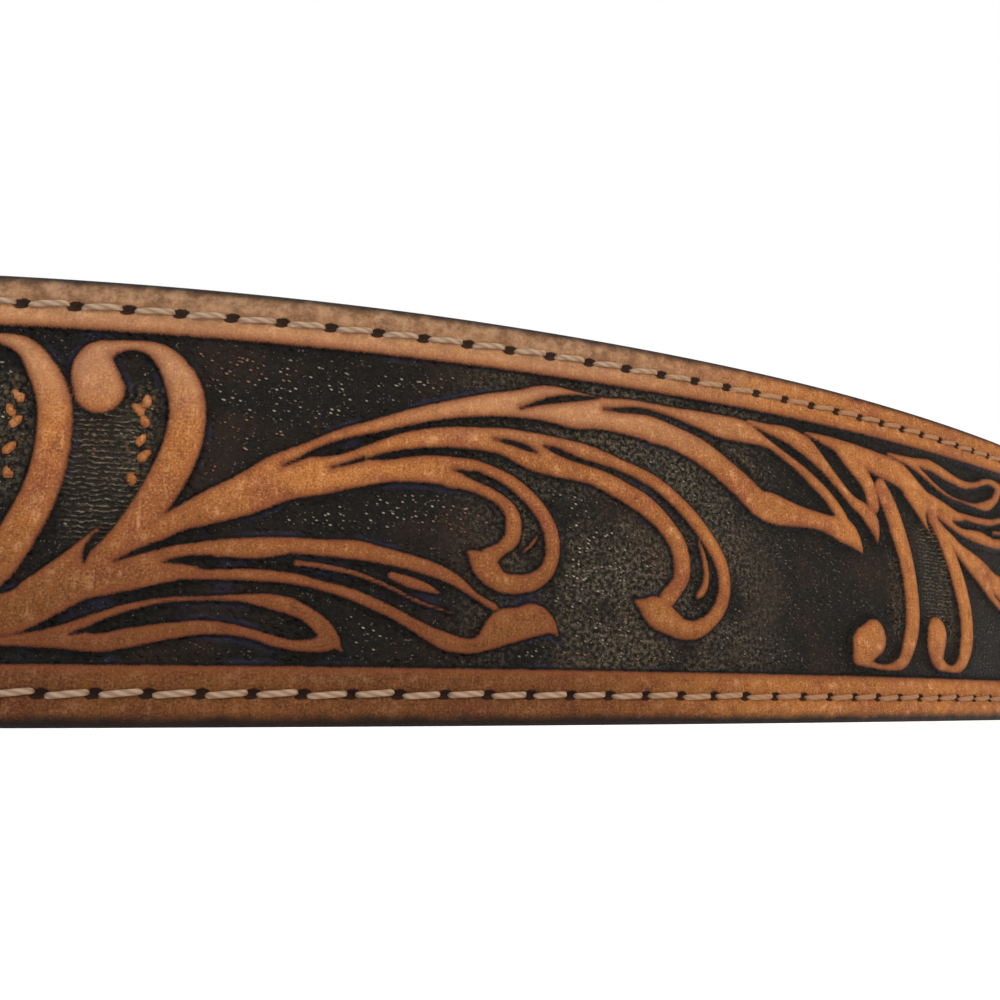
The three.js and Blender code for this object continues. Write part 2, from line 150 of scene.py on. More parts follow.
# Mesh density: steps along the strap near the camera and elsewhere, and up the face, then how many
# points the small forms take
NEAR_RANGE = (-155.0, -10.0)
NEAR_STEP = 0.25
FAR_STEP = 0.6
PLAIN_STEP = 2.5
FOLD_STEP = 1.5
FIELD_STEP = 0.25
EDGE_POINTS = 7
HOLE_SIDES = 40
STITCH_SIDES = 8
HEEL_STEPS = 6
NOSE_STEPS = 14
BAR_STEPS = 14
SIDE_STEPS = 22
BAR_SIDES = 28
PRONG_STEPS = 48
PRONG_SIDES = 20
KEEPER_STEPS = 25
KEEPER_CORNER_STEPS = 9
KEEPER_SIDE_STEPS = 14

# One repeat of the scroll work on a chart of squares, so many to a repeat and to the strap's width.
# A stroke is a row of stations: along the belt, up from the bottom edge, half width.
CHART_ALONG = 97
CHART_UP = 38
RAISED = {
    "crook_far_ball": [[0.2, 29.9, 2.1], [2.2, 28.9, 2.1]],
    "crook_far": [
        [-1.0, 31.2, 1.0], [1.5, 32.0, 0.4], [4.5, 32.2, 0.4], [7.2, 31.5, 0.85], [8.9, 29.3, 1.25],
        [9.9, 27.0, 1.4], [10.2, 24.5, 1.45], [10.0, 21.3, 1.45], [9.3, 18.4, 1.5], [8.2, 15.7, 1.55],
        [7.1, 13.3, 1.45], [5.6, 11.2, 1.3],
    ],
    "crook_near": [
        [13.5, 28.0, 2.1], [12.9, 29.8, 1.8], [13.2, 31.2, 1.15], [15.0, 32.0, 0.55], [16.6, 32.1, 0.5],
        [18.0, 31.7, 0.8], [19.3, 30.5, 1.2], [20.4, 28.5, 1.5], [20.8, 26.3, 1.55], [20.6, 24.0, 1.6],
        [19.9, 21.6, 1.6], [18.8, 19.2, 1.5], [17.4, 16.8, 1.35], [15.8, 14.6, 1.2], [13.8, 12.6, 1.1],
    ],
    "main_root": [
        [-9, 6.5, 0.3], [-5, 6.9, 0.7], [-1, 7.5, 1.1], [3, 8.2, 1.5], [8, 9.0, 1.7], [11, 10.6, 1.75],
        [14, 12.3, 1.7],
    ],
    "main_stem": [
        [14.5, 12.9, 1.2], [17.5, 15.2, 1.1], [20.3, 16.9, 1.0], [23, 18.2, 1.45], [26, 19.5, 1.8],
        [29, 21.0, 1.95], [32, 21.5, 1.75], [35, 21.9, 1.35], [38, 22.35, 1.05], [40, 22.65, 1.15],
        [42, 22.85, 1.3], [44, 22.85, 1.4],
    ],
    "top_band": [
        [25.5, 20.3, 0.9], [28.5, 22.4, 0.85], [31, 24.0, 0.45], [34, 25.45, 0.5], [37, 26.45, 0.62],
        [40, 27.5, 0.75], [44, 28.7, 0.88], [48, 29.6, 1.15], [51, 30.05, 1.4], [54, 30.45, 1.85],
        [57, 30.2, 1.95], [60, 30.2, 1.7], [64, 30.15, 1.95], [67, 29.9, 2.15],
    ],
    "middle_band": [
        [31, 22.4, 0.7], [34, 23.0, 0.6], [37, 24.3, 0.6], [40, 25.35, 0.82], [44, 26.05, 1.0],
        [48, 26.2, 1.2], [50, 26.05, 1.45], [52.5, 25.5, 1.9], [55, 25.2, 2.0], [58, 24.9, 1.95],
        [60.5, 24.3, 1.9],
    ],
    "small_curl_outer": [
        [44, 22.9, 1.3], [46.2, 23.6, 0.58], [48, 23.2, 0.55], [49.8, 22.5, 0.62], [51.5, 21.4, 0.7],
        [53.0, 20.0, 0.72], [54.0, 18.45, 0.78], [54.4, 16.9, 0.8], [54.3, 15.3, 0.76],
        [53.6, 13.9, 0.76], [52.2, 13.0, 0.85], [50.3, 12.7, 0.92], [48.8, 13.0, 1.0],
        [47.6, 14.1, 1.25], [46.6, 15.0, 0.65], [45.8, 15.5, 0.08],
    ],
    "small_curl_inner": [
        [44, 22.2, 0.9], [45.8, 21.75, 0.62], [47.6, 21.2, 0.55], [49.2, 20.4, 0.6], [50.2, 19.3, 0.75],
        [50.4, 18.0, 0.82], [50.1, 16.8, 0.8], [49.1, 15.9, 0.65], [47.9, 15.1, 0.9],
    ],
    "small_curl_sliver": [[51.3, 15.7, 0.1], [52.2, 16.5, 0.18], [53.0, 17.6, 0.08]],
    "big_curl_outer": [
        [60.5, 25.6, 0.7], [62, 25.15, 0.64], [64, 24.6, 0.66], [66, 23.85, 0.72], [68, 22.7, 0.76],
        [70, 21.2, 0.8], [71.6, 19.7, 0.85], [73.0, 18.1, 0.85], [74.1, 16.4, 0.86], [74.6, 14.5, 0.82],
        [74.4, 12.7, 0.82], [73.6, 11.2, 0.8], [72.2, 9.9, 0.8], [70.6, 9.2, 0.95], [69.0, 9.2, 1.05],
        [67.6, 9.8, 1.35], [66.0, 10.7, 1.6], [64.7, 11.2, 0.85], [63.3, 11.8, 0.08],
    ],
    "big_curl_inner": [
        [60, 23.4, 1.0], [62, 22.7, 1.08], [64, 21.8, 1.12], [65.8, 20.75, 1.08], [67.4, 19.4, 1.02],
        [68.7, 17.8, 1.06], [69.2, 16.1, 1.05], [69.1, 14.5, 1.0], [68.4, 13.3, 0.88], [67.3, 12.2, 0.95],
    ],
    "big_curl_ridge": [
        [71.4, 18.3, 0.15], [71.95, 16.8, 0.3], [72.25, 15.2, 0.38], [72.1, 13.9, 0.42],
        [71.6, 13.0, 0.42], [71.1, 12.6, 0.35],
    ],
    "leaf_mid": [[13, 11.4, 1.3], [17, 12.4, 1.4], [19.5, 13.1, 1.45], [21, 13.5, 1.5]],
    "leaf_mid_upper": [
        [21, 14.3, 0.7], [24, 14.75, 0.75], [27, 14.9, 0.92], [30, 15.2, 0.75], [33, 15.1, 0.8],
        [35.5, 15.1, 0.85], [38, 14.7, 0.75], [41, 14.1, 0.7], [43.5, 13.35, 0.65], [45.2, 12.5, 0.5],
        [46.6, 11.5, 0.3], [48.5, 10.5, 0.35],
    ],
    "leaf_mid_lower": [
        [21, 12.7, 0.7], [23, 12.5, 0.45], [26, 12.6, 0.5], [29, 12.5, 0.5], [31, 12.25, 0.45],
        [33, 11.8, 0.42], [35, 11.3, 0.5], [37, 10.55, 0.52], [39, 9.7, 0.5], [41, 8.65, 0.55],
        [42.5, 7.9, 0.66], [44, 7.3, 0.8], [46, 6.95, 0.66], [47.5, 7.4, 0.85], [49.3, 8.7, 1.6],
        [51, 9.1, 1.5], [52.3, 9.5, 1.5], [53.4, 9.3, 1.1], [54.3, 8.8, 0.5], [55, 7.9, 0.06],
    ],
    "leaf_mid_ridge": [
        [30.5, 13.75, 0.25], [33, 13.5, 0.25], [35.5, 13.05, 0.22], [38.3, 12.1, 0.18],
        [41.5, 10.7, 0.16], [44.7, 9.8, 0.08],
    ],
    "leaf_mid_fleck": [[38.8, 13.0, 0.35], [40.3, 12.5, 0.5], [41.8, 12.1, 0.42], [43.2, 11.6, 0.12]],
    "leaf_low": [[6, 6.7, 0.25], [10, 6.95, 0.6], [13, 7.3, 1.1]],
    "leaf_low_upper": [
        [13, 7.9, 0.55], [14.5, 8.65, 0.38], [17, 9.6, 0.32], [20, 10.3, 0.22], [23, 10.5, 0.2],
        [26, 10.6, 0.32], [28, 10.45, 0.6], [30, 10.05, 0.72], [31.5, 9.4, 0.65], [32.7, 8.5, 0.75],
        [33.6, 7.5, 0.7], [34.2, 6.8, 0.35], [34.7, 6.2, 0.06],
    ],
    "leaf_low_lower": [
        [13, 6.9, 0.75], [15, 6.75, 0.75], [17, 7.1, 0.8], [19, 7.5, 0.75], [21, 7.85, 0.65],
        [23, 8.1, 0.6], [25, 8.0, 0.5], [27, 7.65, 0.42], [29, 7.05, 0.45], [30.5, 6.75, 0.45],
        [32, 6.75, 0.55], [33.3, 7.0, 0.75],
    ],
    "spur": [
        [9.6, 10.7, 1.2], [11.5, 12.5, 0.95], [13.0, 14.4, 0.5], [13.9, 15.5, 0.28], [14.5, 16.4, 0.05],
    ],
    "big_leaf_lower": [
        [66, 29.4, 1.6], [68, 28.95, 1.35], [70, 28.4, 1.35], [72, 27.75, 1.4], [74, 26.8, 1.4],
        [76, 25.6, 1.45], [78, 24.4, 1.5], [80, 23.0, 1.6], [82, 22.6, 1.75], [84.5, 22.3, 1.45],
        [87, 22.1, 1.15], [89.5, 21.9, 1.05], [91.3, 21.6, 1.2], [93, 21.4, 1.6], [94.5, 20.9, 1.4],
        [95.7, 19.9, 0.8], [96.4, 19.0, 0.2],
    ],
    "big_leaf_upper": [
        [60.5, 31.4, 0.45], [63, 31.7, 0.4], [66, 31.7, 0.4], [69, 31.4, 0.65], [72, 31.15, 0.95],
        [75, 30.8, 1.3], [78, 30.7, 1.3], [80, 30.3, 0.9], [81.5, 29.9, 0.6], [83, 29.3, 0.48],
        [85, 28.4, 0.52], [87, 27.4, 0.62], [89, 26.2, 0.75], [90.7, 25.1, 0.78], [92.2, 23.8, 0.85],
        [93.2, 22.6, 1.0],
    ],
    "root_leaf_low": [
        [-18, 6.4, 0.3], [-15, 6.8, 0.6], [-12, 7.1, 1.0], [-9, 8.1, 1.2], [-7.1, 9.3, 0.95],
        [-5.4, 10.6, 0.8], [-3.6, 12.0, 0.7], [-1.7, 13.4, 0.75], [0.3, 14.3, 1.0], [1.7, 15.3, 1.2],
        [2.3, 16.5, 0.75], [2.5, 17.9, 0.1],
    ],
    "root_leaf_top": [[-4, 7.1, 0.75], [-2, 8.3, 1.2], [0, 9.6, 1.3], [1.6, 11.3, 1.2], [2.2, 13.3, 1.2]],
}
CUTS = {
    "top_band_slit": [
        [51.1, 29.6, 0.06], [53, 30.35, 0.2], [55, 30.95, 0.32], [57, 31.35, 0.3], [59, 31.65, 0.15],
        [60, 31.9, 0.05],
    ],
    "middle_slit_short": [[48.4, 26.3, 0.05], [50.3, 26.1, 0.22], [51.7, 25.8, 0.25], [52.8, 25.45, 0.08]],
    "middle_slit_long": [
        [53.6, 26.15, 0.06], [55.2, 25.75, 0.3], [57, 25.2, 0.25], [59, 24.85, 0.25], [61, 24.45, 0.3],
        [63, 23.8, 0.4], [65, 23.05, 0.45],
    ],
    "big_leaf_slit": [
        [60.3, 30.7, 0.05], [62, 30.8, 0.2], [64, 31.0, 0.3], [66, 31.0, 0.3], [68, 30.65, 0.35],
        [70, 30.2, 0.4], [72, 29.75, 0.4], [74, 29.1, 0.5],
    ],
    "stem_crack_long": [[29.0, 22.2, 0.04], [30.2, 22.8, 0.1], [31.5, 23.5, 0.2], [33, 24.2, 0.25]],
    "stem_crack_short": [[33.2, 22.3, 0.04], [34.5, 22.75, 0.09], [36, 23.3, 0.2]],
    "leaf_mid_line": [[30.0, 14.5, 0.1], [32, 14.3, 0.15], [34, 14.3, 0.1]],
    "stem_wedge": [[15.8, 13.4, 0.03], [17.5, 14.2, 0.2], [19.5, 15.0, 0.3], [21.5, 15.7, 0.4]],
    "spur_notch": [[13.4, 13.2, 0.06], [13.6, 14.3, 0.25], [14.2, 15.4, 0.3]],
    "root_leaf_line": [[-9, 6.7, 0.08], [-7, 7.2, 0.12]],
    "leaf_mid_slit": [[19.6, 13.45, 0.04], [20.8, 13.6, 0.25], [22, 13.65, 0.42], [23.5, 13.6, 0.5]],
    "leaf_low_slit": [[12.8, 7.4, 0.04], [14, 7.75, 0.2], [15.2, 8.05, 0.3]],
    "small_curl_slit": [[44.4, 23.0, 0.04], [45.6, 22.8, 0.2], [46.8, 22.4, 0.3]],
}
# Low ridge inside the big leaf, dyed as the ground is
DYED_RIDGE = [[74.6, 29.2, 0.1], [76.5, 28.5, 0.5], [78.5, 27.4, 0.6], [80.5, 26.1, 0.45], [82, 25.0, 0.1]]
# Seed beads inside the crooks, left tan in every second repeat: along, up
BEADS = [
    (17.4, 27.3), (16.7, 26.5), (17.3, 25.5), (17.2, 23.8), (17.5, 22.5), (16.6, 20.5),
    (7.0, 27.2), (6.5, 26.0), (7.1, 25.0), (6.8, 22.7), (6.8, 20.6),
]
# Patches between the crooks: along and up from their lower to their higher limits
RIBBED = (11.6, 17.6, 15.0, 26.6)
PEBBLED = [(15.3, 18.6, 19.0, 28.6), (4.6, 8.2, 18.6, 29.0)]
COOL_LIGHT_CREST = 22.0  # of two repeats, where the painted shade low on the face and the painted sheen high on it are strongest
GROUND_SHEEN_CREST = 64.0  # of a repeat, where the ground lies widest and its painted grey sheen is strongest
FAR_CROOK_SHIFT = -1.6  # of the far crook in every second repeat


def smooth(value, low, high):
    share = np.clip((value - low) / (high - low), 0, 1)
    return share * share * (3 - 2 * share)


def lerp(a, b, share):
    return a + (b - a) * share


def close_plan():
    """Radius and turn of each arc of the half loop. The side arc and the front straight close it."""
    side_turn = math.pi - sum(math.radians(turn) for _, turn in PLAN_ARCS if turn)
    arcs = [(r * GRAIN_LOOP, math.radians(t)) if r else (None, side_turn) for r, t in PLAN_ARCS]
    heading, needed, side_run = math.pi, HALF_LOOP, 0
    for radius, turn in arcs:
        excess = turn - (math.sin(heading + turn) - math.sin(heading))
        if radius is None:
            side_run = excess
        else:
            needed -= radius * excess
        heading += turn
    return [(radius or needed / side_run, turn) for radius, turn in arcs]


PLAN = close_plan()
STRAP_LOW, STRAP_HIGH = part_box("strap")
BACK_Y = STRAP_HIGH.y / MM


def on_loop(around):
    """Grain point and outward normal, anticlockwise from above from the back centre, for arrays."""
    around = np.asarray(around, float)
    wrapped = np.where(around > HALF_LOOP, around - GRAIN_LOOP, around)
    wrapped = np.where(wrapped < -HALF_LOOP, wrapped + GRAIN_LOOP, wrapped)
    side = np.where(wrapped < 0, -1.0, 1.0)
    left = np.abs(wrapped)
    heading = np.full(left.shape, math.pi)
    x = np.zeros(left.shape)
    y = np.full(left.shape, BACK_Y)
    for radius, turn in PLAN:
        run = np.minimum(left, radius * turn)
        after = heading + run / radius
        x += radius * (np.sin(after) - np.sin(heading))
        y += radius * (np.cos(heading) - np.cos(after))
        heading = after
        left = left - run
    x += left * np.cos(heading)
    y += left * np.sin(heading)
    return side * x, y, side * np.sin(heading), -np.cos(heading)


def place(around, out, up):
    """World points in metres from belt coordinates in millimetres."""
    around, out, up = np.broadcast_arrays(around, out, up)
    x, y, out_x, out_y = on_loop(around)
    return np.stack([x + out * out_x, y + out * out_y, up], axis=-1) * MM


def at_front(along, out, up):
    return place(HALF_LOOP + np.asarray(along, float), out, up)


def make_object(name, points, faces, material, uv=None, attributes=None):
    """Mesh object from points and a list of face arrays, each array with one count of corners a face."""
    mesh = bpy.data.meshes.new(name)
    mesh.vertices.add(len(points))
    mesh.vertices.foreach_set("co", np.asarray(points, np.float32).ravel())
    corners = np.concatenate([f.ravel() for f in faces])
    totals = np.concatenate([np.full(len(f), f.shape[1]) for f in faces])
    starts = np.concatenate([[0], np.cumsum(totals)[:-1]])
    mesh.loops.add(len(corners))
    mesh.loops.foreach_set("vertex_index", corners.astype(np.int32))
    mesh.polygons.add(len(totals))
    mesh.polygons.foreach_set("loop_start", starts.astype(np.int32))
    mesh.polygons.foreach_set("loop_total", totals.astype(np.int32))
    mesh.polygons.foreach_set("use_smooth", np.full(len(totals), True))
    mesh.update(calc_edges=True)
    if uv is not None:
        layer = mesh.uv_layers.new(name="strap_map")
        layer.data.foreach_set("uv", np.asarray(uv, np.float32).ravel())
    for key, values in (attributes or {}).items():
        attribute = mesh.attributes.new(key, "FLOAT", "POINT")
        attribute.data.foreach_set("value", values.astype(np.float32).ravel())
    mesh.validate()
    mesh.materials.append(material)
    obj = bpy.data.objects.new(name, mesh)
    bpy.context.scene.collection.objects.link(obj)
    return obj


def outward(obj):
    """Turns every closed shell of the mesh so that its faces point out."""
    bm = bmesh.new()
    bm.from_mesh(obj.data)
    bmesh.ops.recalc_face_normals(bm, faces=bm.faces)
    bm.to_mesh(obj.data)
    bm.free()


def tube_faces(rings, count, closed_length=False):
    """Quads between rings of so many points each, numbered ring by ring, with the outside outward."""
    spans = rings if closed_length else rings - 1
    i, j = np.meshgrid(np.arange(spans), np.arange(count), indexing="ij")
    i, j = i.ravel(), j.ravel()
    k, m = (j + 1) % count, (i + 1) % rings
    return np.stack([i * count + j, m * count + j, m * count + k, i * count + k], axis=1)


def capped_tube(rings, count):
    """Faces of a tube and of the caps at its start and its end."""
    ring = np.arange(count)
    return [tube_faces(rings, count), ring[None, :], ((rings - 1) * count + ring)[None, ::-1]]


def circle(sides):
    return np.linspace(0, 2 * math.pi, sides, endpoint=False)


def resample(stations, parts=5):
    """Smooth line through given stations, by Catmull-Rom."""
    rows = np.array(stations, float)
    ends = np.vstack([2 * rows[0] - rows[1], rows, 2 * rows[-1] - rows[-2]])
    share = np.arange(parts)[:, None] / parts
    spans = [
        0.5 * (2 * b + (c - a) * share + (2 * a - 5 * b + 4 * c - d) * share**2
               + (3 * b - a - 3 * c + d) * share**3)
        for a, b, c, d in zip(ends, ends[1:], ends[2:], ends[3:])
    ]
    line = np.vstack(spans + [rows[-1:]])
    line[:, 2] = np.maximum(line[:, 2], 0.02)
    return line


def stamp(distance, around, up, line):
    """Raises distance to the signed distance inside the tapered stroke along line."""
    for (b0, t0, w0), (b1, t1, w1) in zip(line, line[1:]):
        room = max(w0, w1) + REACH
        i0, i1 = np.searchsorted(around, [min(b0, b1) - room, max(b0, b1) + room])
        j0, j1 = np.searchsorted(up, [min(t0, t1) - room, max(t0, t1) + room])
        if i0 == i1 or j0 == j1:
            continue
        da, du = around[i0:i1, None] - b0, up[None, j0:j1] - t0
        run = (b1 - b0) ** 2 + (t1 - t0) ** 2
        share = np.clip((da * (b1 - b0) + du * (t1 - t0)) / run, 0, 1)
        found = lerp(w0, w1, share) - np.hypot(da - share * (b1 - b0), du - share * (t1 - t0))
        np.maximum(distance[i0:i1, j0:j1], found, out=distance[i0:i1, j0:j1])


def in_repeat(stations, repeat, shift=0.0):
    """Stations of the chart as around, up and half width on the strap, for one repeat."""
    rows = np.array(stations, float)
    rows[:, 0] = repeat * REPEAT - PATTERN_ANCHOR + (rows[:, 0] + shift) * REPEAT / CHART_ALONG
    rows[:, 1:] *= STRAP_WIDTH / CHART_UP
    if repeat % 2:
        rows[:, 1] = BORDER_LOW + STRAP_WIDTH - BORDER_TOP - rows[:, 1]
    return rows


def carve(around, up):
    """Signed distances on the face, to the nearest tan edge, positive in tan, and into a dyed bead or ridge,
    with the masks of the ribs and the pebbles."""
    shape = (len(around), len(up))
    raised, cut, bead, dyed = (np.full(shape, -REACH) for _ in range(4))
    ribs, pebbles = np.zeros(shape), np.zeros(shape)
    first = math.floor((around[0] + PATTERN_ANCHOR) / REPEAT) - 1
    last = math.ceil((around[-1] + PATTERN_ANCHOR) / REPEAT) + 1
    for repeat in range(first, last + 1):
        for name, stations in RAISED.items():
            shift = FAR_CROOK_SHIFT if repeat % 2 and name.startswith("crook_far") else 0
            rows = in_repeat(stations, repeat, shift)
            if rows[:, 0].min() < FIELD_START + 1 or rows[:, 0].max() > FIELD_END - 1:
                continue
            stamp(raised, around, up, resample(rows))
        for stations in CUTS.values():
            stamp(cut, around, up, resample(in_repeat(stations, repeat)))
        stamp(dyed, around, up, resample(in_repeat(DYED_RIDGE, repeat)))
        for n, (b, t) in enumerate(BEADS):
            lean = BEAD_LEAN * math.sin(5 * n)
            shift = FAR_CROOK_SHIFT if repeat % 2 and b < RIBBED[0] else 0
            rows = [[b - lean, t - 0.2, BEAD_RADIUS * 0.9], [b + lean, t + 0.25, BEAD_RADIUS * 0.7]]
            rows = in_repeat(rows, repeat, shift)
            stamp(dyed if repeat % 2 else bead, around, up, rows)
        np.maximum(ribs, patch(RIBBED, repeat, around, up), out=ribs)
        for limits in PEBBLED:
            np.maximum(pebbles, patch(limits, repeat, around, up), out=pebbles)
    b, t = around[:, None], up[None, :]
    border = np.maximum(np.maximum(BORDER_LOW - t, t - (STRAP_WIDTH - BORDER_TOP)),
                        np.maximum(FIELD_START - b, b - FIELD_END))
    edge = np.maximum(np.minimum(raised, -cut), border)
    edge = np.maximum(edge, np.where(bead > 0, 2 * bead, -REACH))
    return edge, np.maximum(bead, dyed), ribs, np.maximum(pebbles, smooth(dyed, -0.1, 0.3))


def patch(limits, repeat, around, up):
    """Mask with soft limits of a rectangle of the chart in one repeat."""
    (b0, t0, _), (b1, t1, _) = in_repeat([[limits[0], limits[2], 0], [limits[1], limits[3], 0]], repeat)
    b, t = around[:, None], up[None, :]

    def past(value, limit):
        return smooth(value, limit - PATCH_FADE, limit + PATCH_FADE)

    return past(b, b0) * (1 - past(b, b1)) * past(t, min(t0, t1)) * (1 - past(t, max(t0, t1)))


def relief(edge, bead):
    """Depth of the carved face below the grain, from the distance to the nearest tan edge."""
    inside = np.maximum(edge, 0)
    crown = sum(drop * np.exp(-inside / run) for drop, run in (SHOULDER, SWELL))
    rise, run = GROUND_RISE
    matted = rise * (1 - np.exp(-np.maximum(-edge - WALL_RUN, 0) / run))
    depth = lerp(crown, FIELD_DEPTH + FOOT_DROP - matted, smooth(-edge, 0, WALL_RUN))
    dome = np.sqrt(np.clip(1 - (1 - np.clip(bead / BEAD_RADIUS, 0, 1)) ** 2, 0, 1))
    return np.where(bead > 0, FIELD_DEPTH - BEAD_RISE * dome, depth)


def seam_holes(seam):
    """Distances round the loop of one seam's holes."""
    first = math.ceil((SEAM_FROM - seam["hole"]) / seam["pitch"])
    last = math.floor((SEAM_TO - seam["hole"]) / seam["pitch"])
    return seam["hole"] + seam["pitch"] * np.arange(first, last + 1)


def seam_pits(around, up):
    """Depth of the seam grooves and awl holes on the face, and the painted shade inside the holes."""
    b, t = around[:, None], up[None, :]
    depth = np.zeros((len(around), len(up)))
    hole_shade = np.zeros_like(depth)
    sewn = smooth(b, SEAM_FROM - SEAM_FADE, SEAM_FROM) * (1 - smooth(b, SEAM_TO, SEAM_TO + SEAM_FADE))
    groove_depth, groove_width = GROOVE
    hole_depth, hole_length, hole_height = AWL_HOLE
    for seam in (SEAM_LOW, SEAM_TOP):
        off = t - seam["up"]
        depth += groove_depth * np.exp(-((off / groove_width) ** 2)) * sewn
        phase = (b - seam["hole"]) / seam["pitch"]
        gap = (phase - np.round(phase)) * seam["pitch"]
        near = np.hypot(gap / hole_length, (off - AWL_LEAN * gap) / hole_height)
        depth += hole_depth * np.exp(-(near**2)) * sewn
        hole_shade = np.maximum(hole_shade, (1 - smooth(near, *AWL_SHADE)) * sewn)
    return depth, hole_shade


def section():
    """The strap's cross-section from the bottom edge up the face and down the back: up, inward depth,
    whether that depth is measured from the back, and which points are the face."""
    field_low, field_high = BORDER_LOW - FIELD_SLACK, STRAP_WIDTH - BORDER_TOP + FIELD_SLACK
    low_edge = [(EDGE_RADIUS * (1 - math.cos(a)), EDGE_RADIUS * (1 - math.sin(a)), 0)
                for a in np.radians(np.linspace(0, 90, EDGE_POINTS))[:-1]]
    border_low = np.linspace(EDGE_RADIUS, field_low, 2 * EDGE_POINTS, endpoint=False)
    border_top = np.linspace(field_high, STRAP_WIDTH - EDGE_RADIUS, 2 * EDGE_POINTS - 1)
    field = np.arange(field_low, field_high, FIELD_STEP)
    face = [(u, 0, 0) for u in np.concatenate([border_low, field, border_top])]
    top_edge = [(STRAP_WIDTH - u, depth, 0) for u, depth, _ in low_edge[::-1]]
    corner = [(BACK_EDGE_RADIUS * (1 - math.cos(a)), -BACK_EDGE_RADIUS * (1 - math.sin(a)), 1)
              for a in np.radians([0, 30, 60, 90])]
    back_top = [(STRAP_WIDTH - u, depth, 1) for u, depth, _ in corner]
    back = [(u, 0, 1) for u in np.linspace(STRAP_WIDTH - BACK_EDGE_RADIUS, BACK_EDGE_RADIUS, 9)[1:-1]]
    rows = np.array(low_edge + face + top_edge + back_top + back + corner[::-1])
    faces = slice(0, len(low_edge) + len(face) + len(top_edge))
    return rows[:, 0], rows[:, 1], rows[:, 2].astype(bool), faces


def way_round(up, inward, from_back):
    """Distances round the section to each of its points, and at the end back to the first."""
    steps = np.hypot(np.diff(up, append=up[0]),
                     np.diff(inward + from_back * STRAP_THICKNESS, append=inward[0]))
    return np.concatenate([[0], np.cumsum(steps)])


SECTION_UP, SECTION_IN, FROM_BACK, FACE = section()
SECTION_MAP = way_round(SECTION_UP, SECTION_IN, FROM_BACK)


def width_at(along):
    """Width of the strap, by the distance from the prong hole towards the tip."""
    billet = lerp(STRAP_WIDTH, BILLET_WIDTH, smooth(along, -BILLET_TAPER[1], -BILLET_TAPER[0]))
    buckle_end = lerp(BILLET_WIDTH, STRAP_WIDTH, smooth(along + GRAIN_LOOP, *BUCKLE_TAPER))
    tip = np.interp((TIP_REACH - along) / TIP_LENGTH, *TIP_OUTLINE)
    return np.minimum(billet, buckle_end) * tip


def billet_out(along):
    """How far the billet stands out where it passes over the fold."""
    start, end = -NOSE_OFFSET + NOSE_CORNER - 1, HEEL_OFFSET - FOLD_RADIUS - 2 * CLEARANCE
    return BILLET_RISE * smooth(along, start, end)


def strap_rings(around):
    """Points of the strap's main run, with the carving on the face, and the values that its colour follows,
    the painted shade in the awl holes among them.
    """
    along = around - HALF_LOOP
    width = width_at(along)[:, None]
    squeeze = np.maximum(width, 0.2 * BILLET_WIDTH) / STRAP_WIDTH
    thickness = lerp(FOLD_THICKNESS, STRAP_THICKNESS, smooth(around + HALF_LOOP - HEEL_OFFSET, 0, SKIVE))
    shape = (len(around), len(SECTION_UP))
    inward = np.where(FROM_BACK, thickness[:, None] + SECTION_IN, SECTION_IN) * np.ones(shape)
    face_up = SECTION_UP[FACE]
    edge = np.full(shape, PLAIN)
    hole = np.zeros(shape)
    ribs, pebbles = np.zeros(shape), np.zeros(shape)
    edge_face, bead, ribs[:, FACE], pebbles[:, FACE] = carve(around, face_up)
    pits, hole_shade = seam_pits(around, face_up)
    inward[:, FACE] += relief(edge_face, bead) * (edge_face < PLAIN_FROM) + pits
    edge[:, FACE] = edge_face
    # The hole attribute carries the painted shade inside the awl holes.
    hole[:, FACE] = hole_shade
    up = MIDDLE + (SECTION_UP - MIDDLE) * squeeze
    points = place(around[:, None], billet_out(along)[:, None] - inward, up)
    return points, {"edge": edge, "hole": hole, "ribs": ribs, "pebbles": pebbles}


def fold_rings():
    """Turned-back flap and the fold round the heel bar, up to where the main run starts."""
    spots = []
    for along in np.linspace(FLAP_REACH, HEEL_OFFSET, 24, endpoint=False):
        down = smooth(HEEL_OFFSET + SKIVE - along, 0, SKIVE)
        spots.append((along, lerp(-FLAP_GRAIN, HEEL_AXIS - FOLD_RADIUS, down), 0, -1))
    for angle in np.linspace(-math.pi / 2, math.pi / 2, 20, endpoint=False):
        off_along, off_out = -math.cos(angle), math.sin(angle)
        spots.append((HEEL_OFFSET + FOLD_RADIUS * off_along, HEEL_AXIS + FOLD_RADIUS * off_out,
                      off_along, off_out))
    along, out, normal_along, normal_out = np.array(spots).T[:, :, None]
    inward = np.where(FROM_BACK, FOLD_THICKNESS + SECTION_IN, SECTION_IN)
    up = MIDDLE + (SECTION_UP - MIDDLE) * BILLET_WIDTH / STRAP_WIDTH
    return at_front(along - inward * normal_along - GRAIN_LOOP, out - inward * normal_out, up)


def strap_piece(name, points, along, attributes, material, cap_start=False, cap_end=False):
    """One stretch of the strap as a mesh, with a map in hundreds of millimetres."""
    rings, count = points.shape[:2]
    quads, start, end = capped_tube(rings, count)
    faces = [quads] + [start] * cap_start + [end] * cap_end
    corner_u = np.concatenate([along[f // count] for f in (face.ravel() for face in faces)])
    ring_point = np.concatenate([(face % count).ravel() for face in faces])
    wraps = np.zeros(len(ring_point), bool)
    seam_quads = np.repeat((quads[:, 0] % count) == count - 1, 4)
    wraps[:len(seam_quads)] = seam_quads & (ring_point[:len(seam_quads)] == 0)
    corner_v = SECTION_MAP[np.where(wraps, count, ring_point)]
    return make_object(name, points.reshape(-1, 3), faces, material,
                       uv=np.stack([corner_u, corner_v], axis=1) / 100, attributes=attributes)


def stations_between(low, high, step):
    return np.linspace(low, high, max(2, round((high - low) / step) + 1))


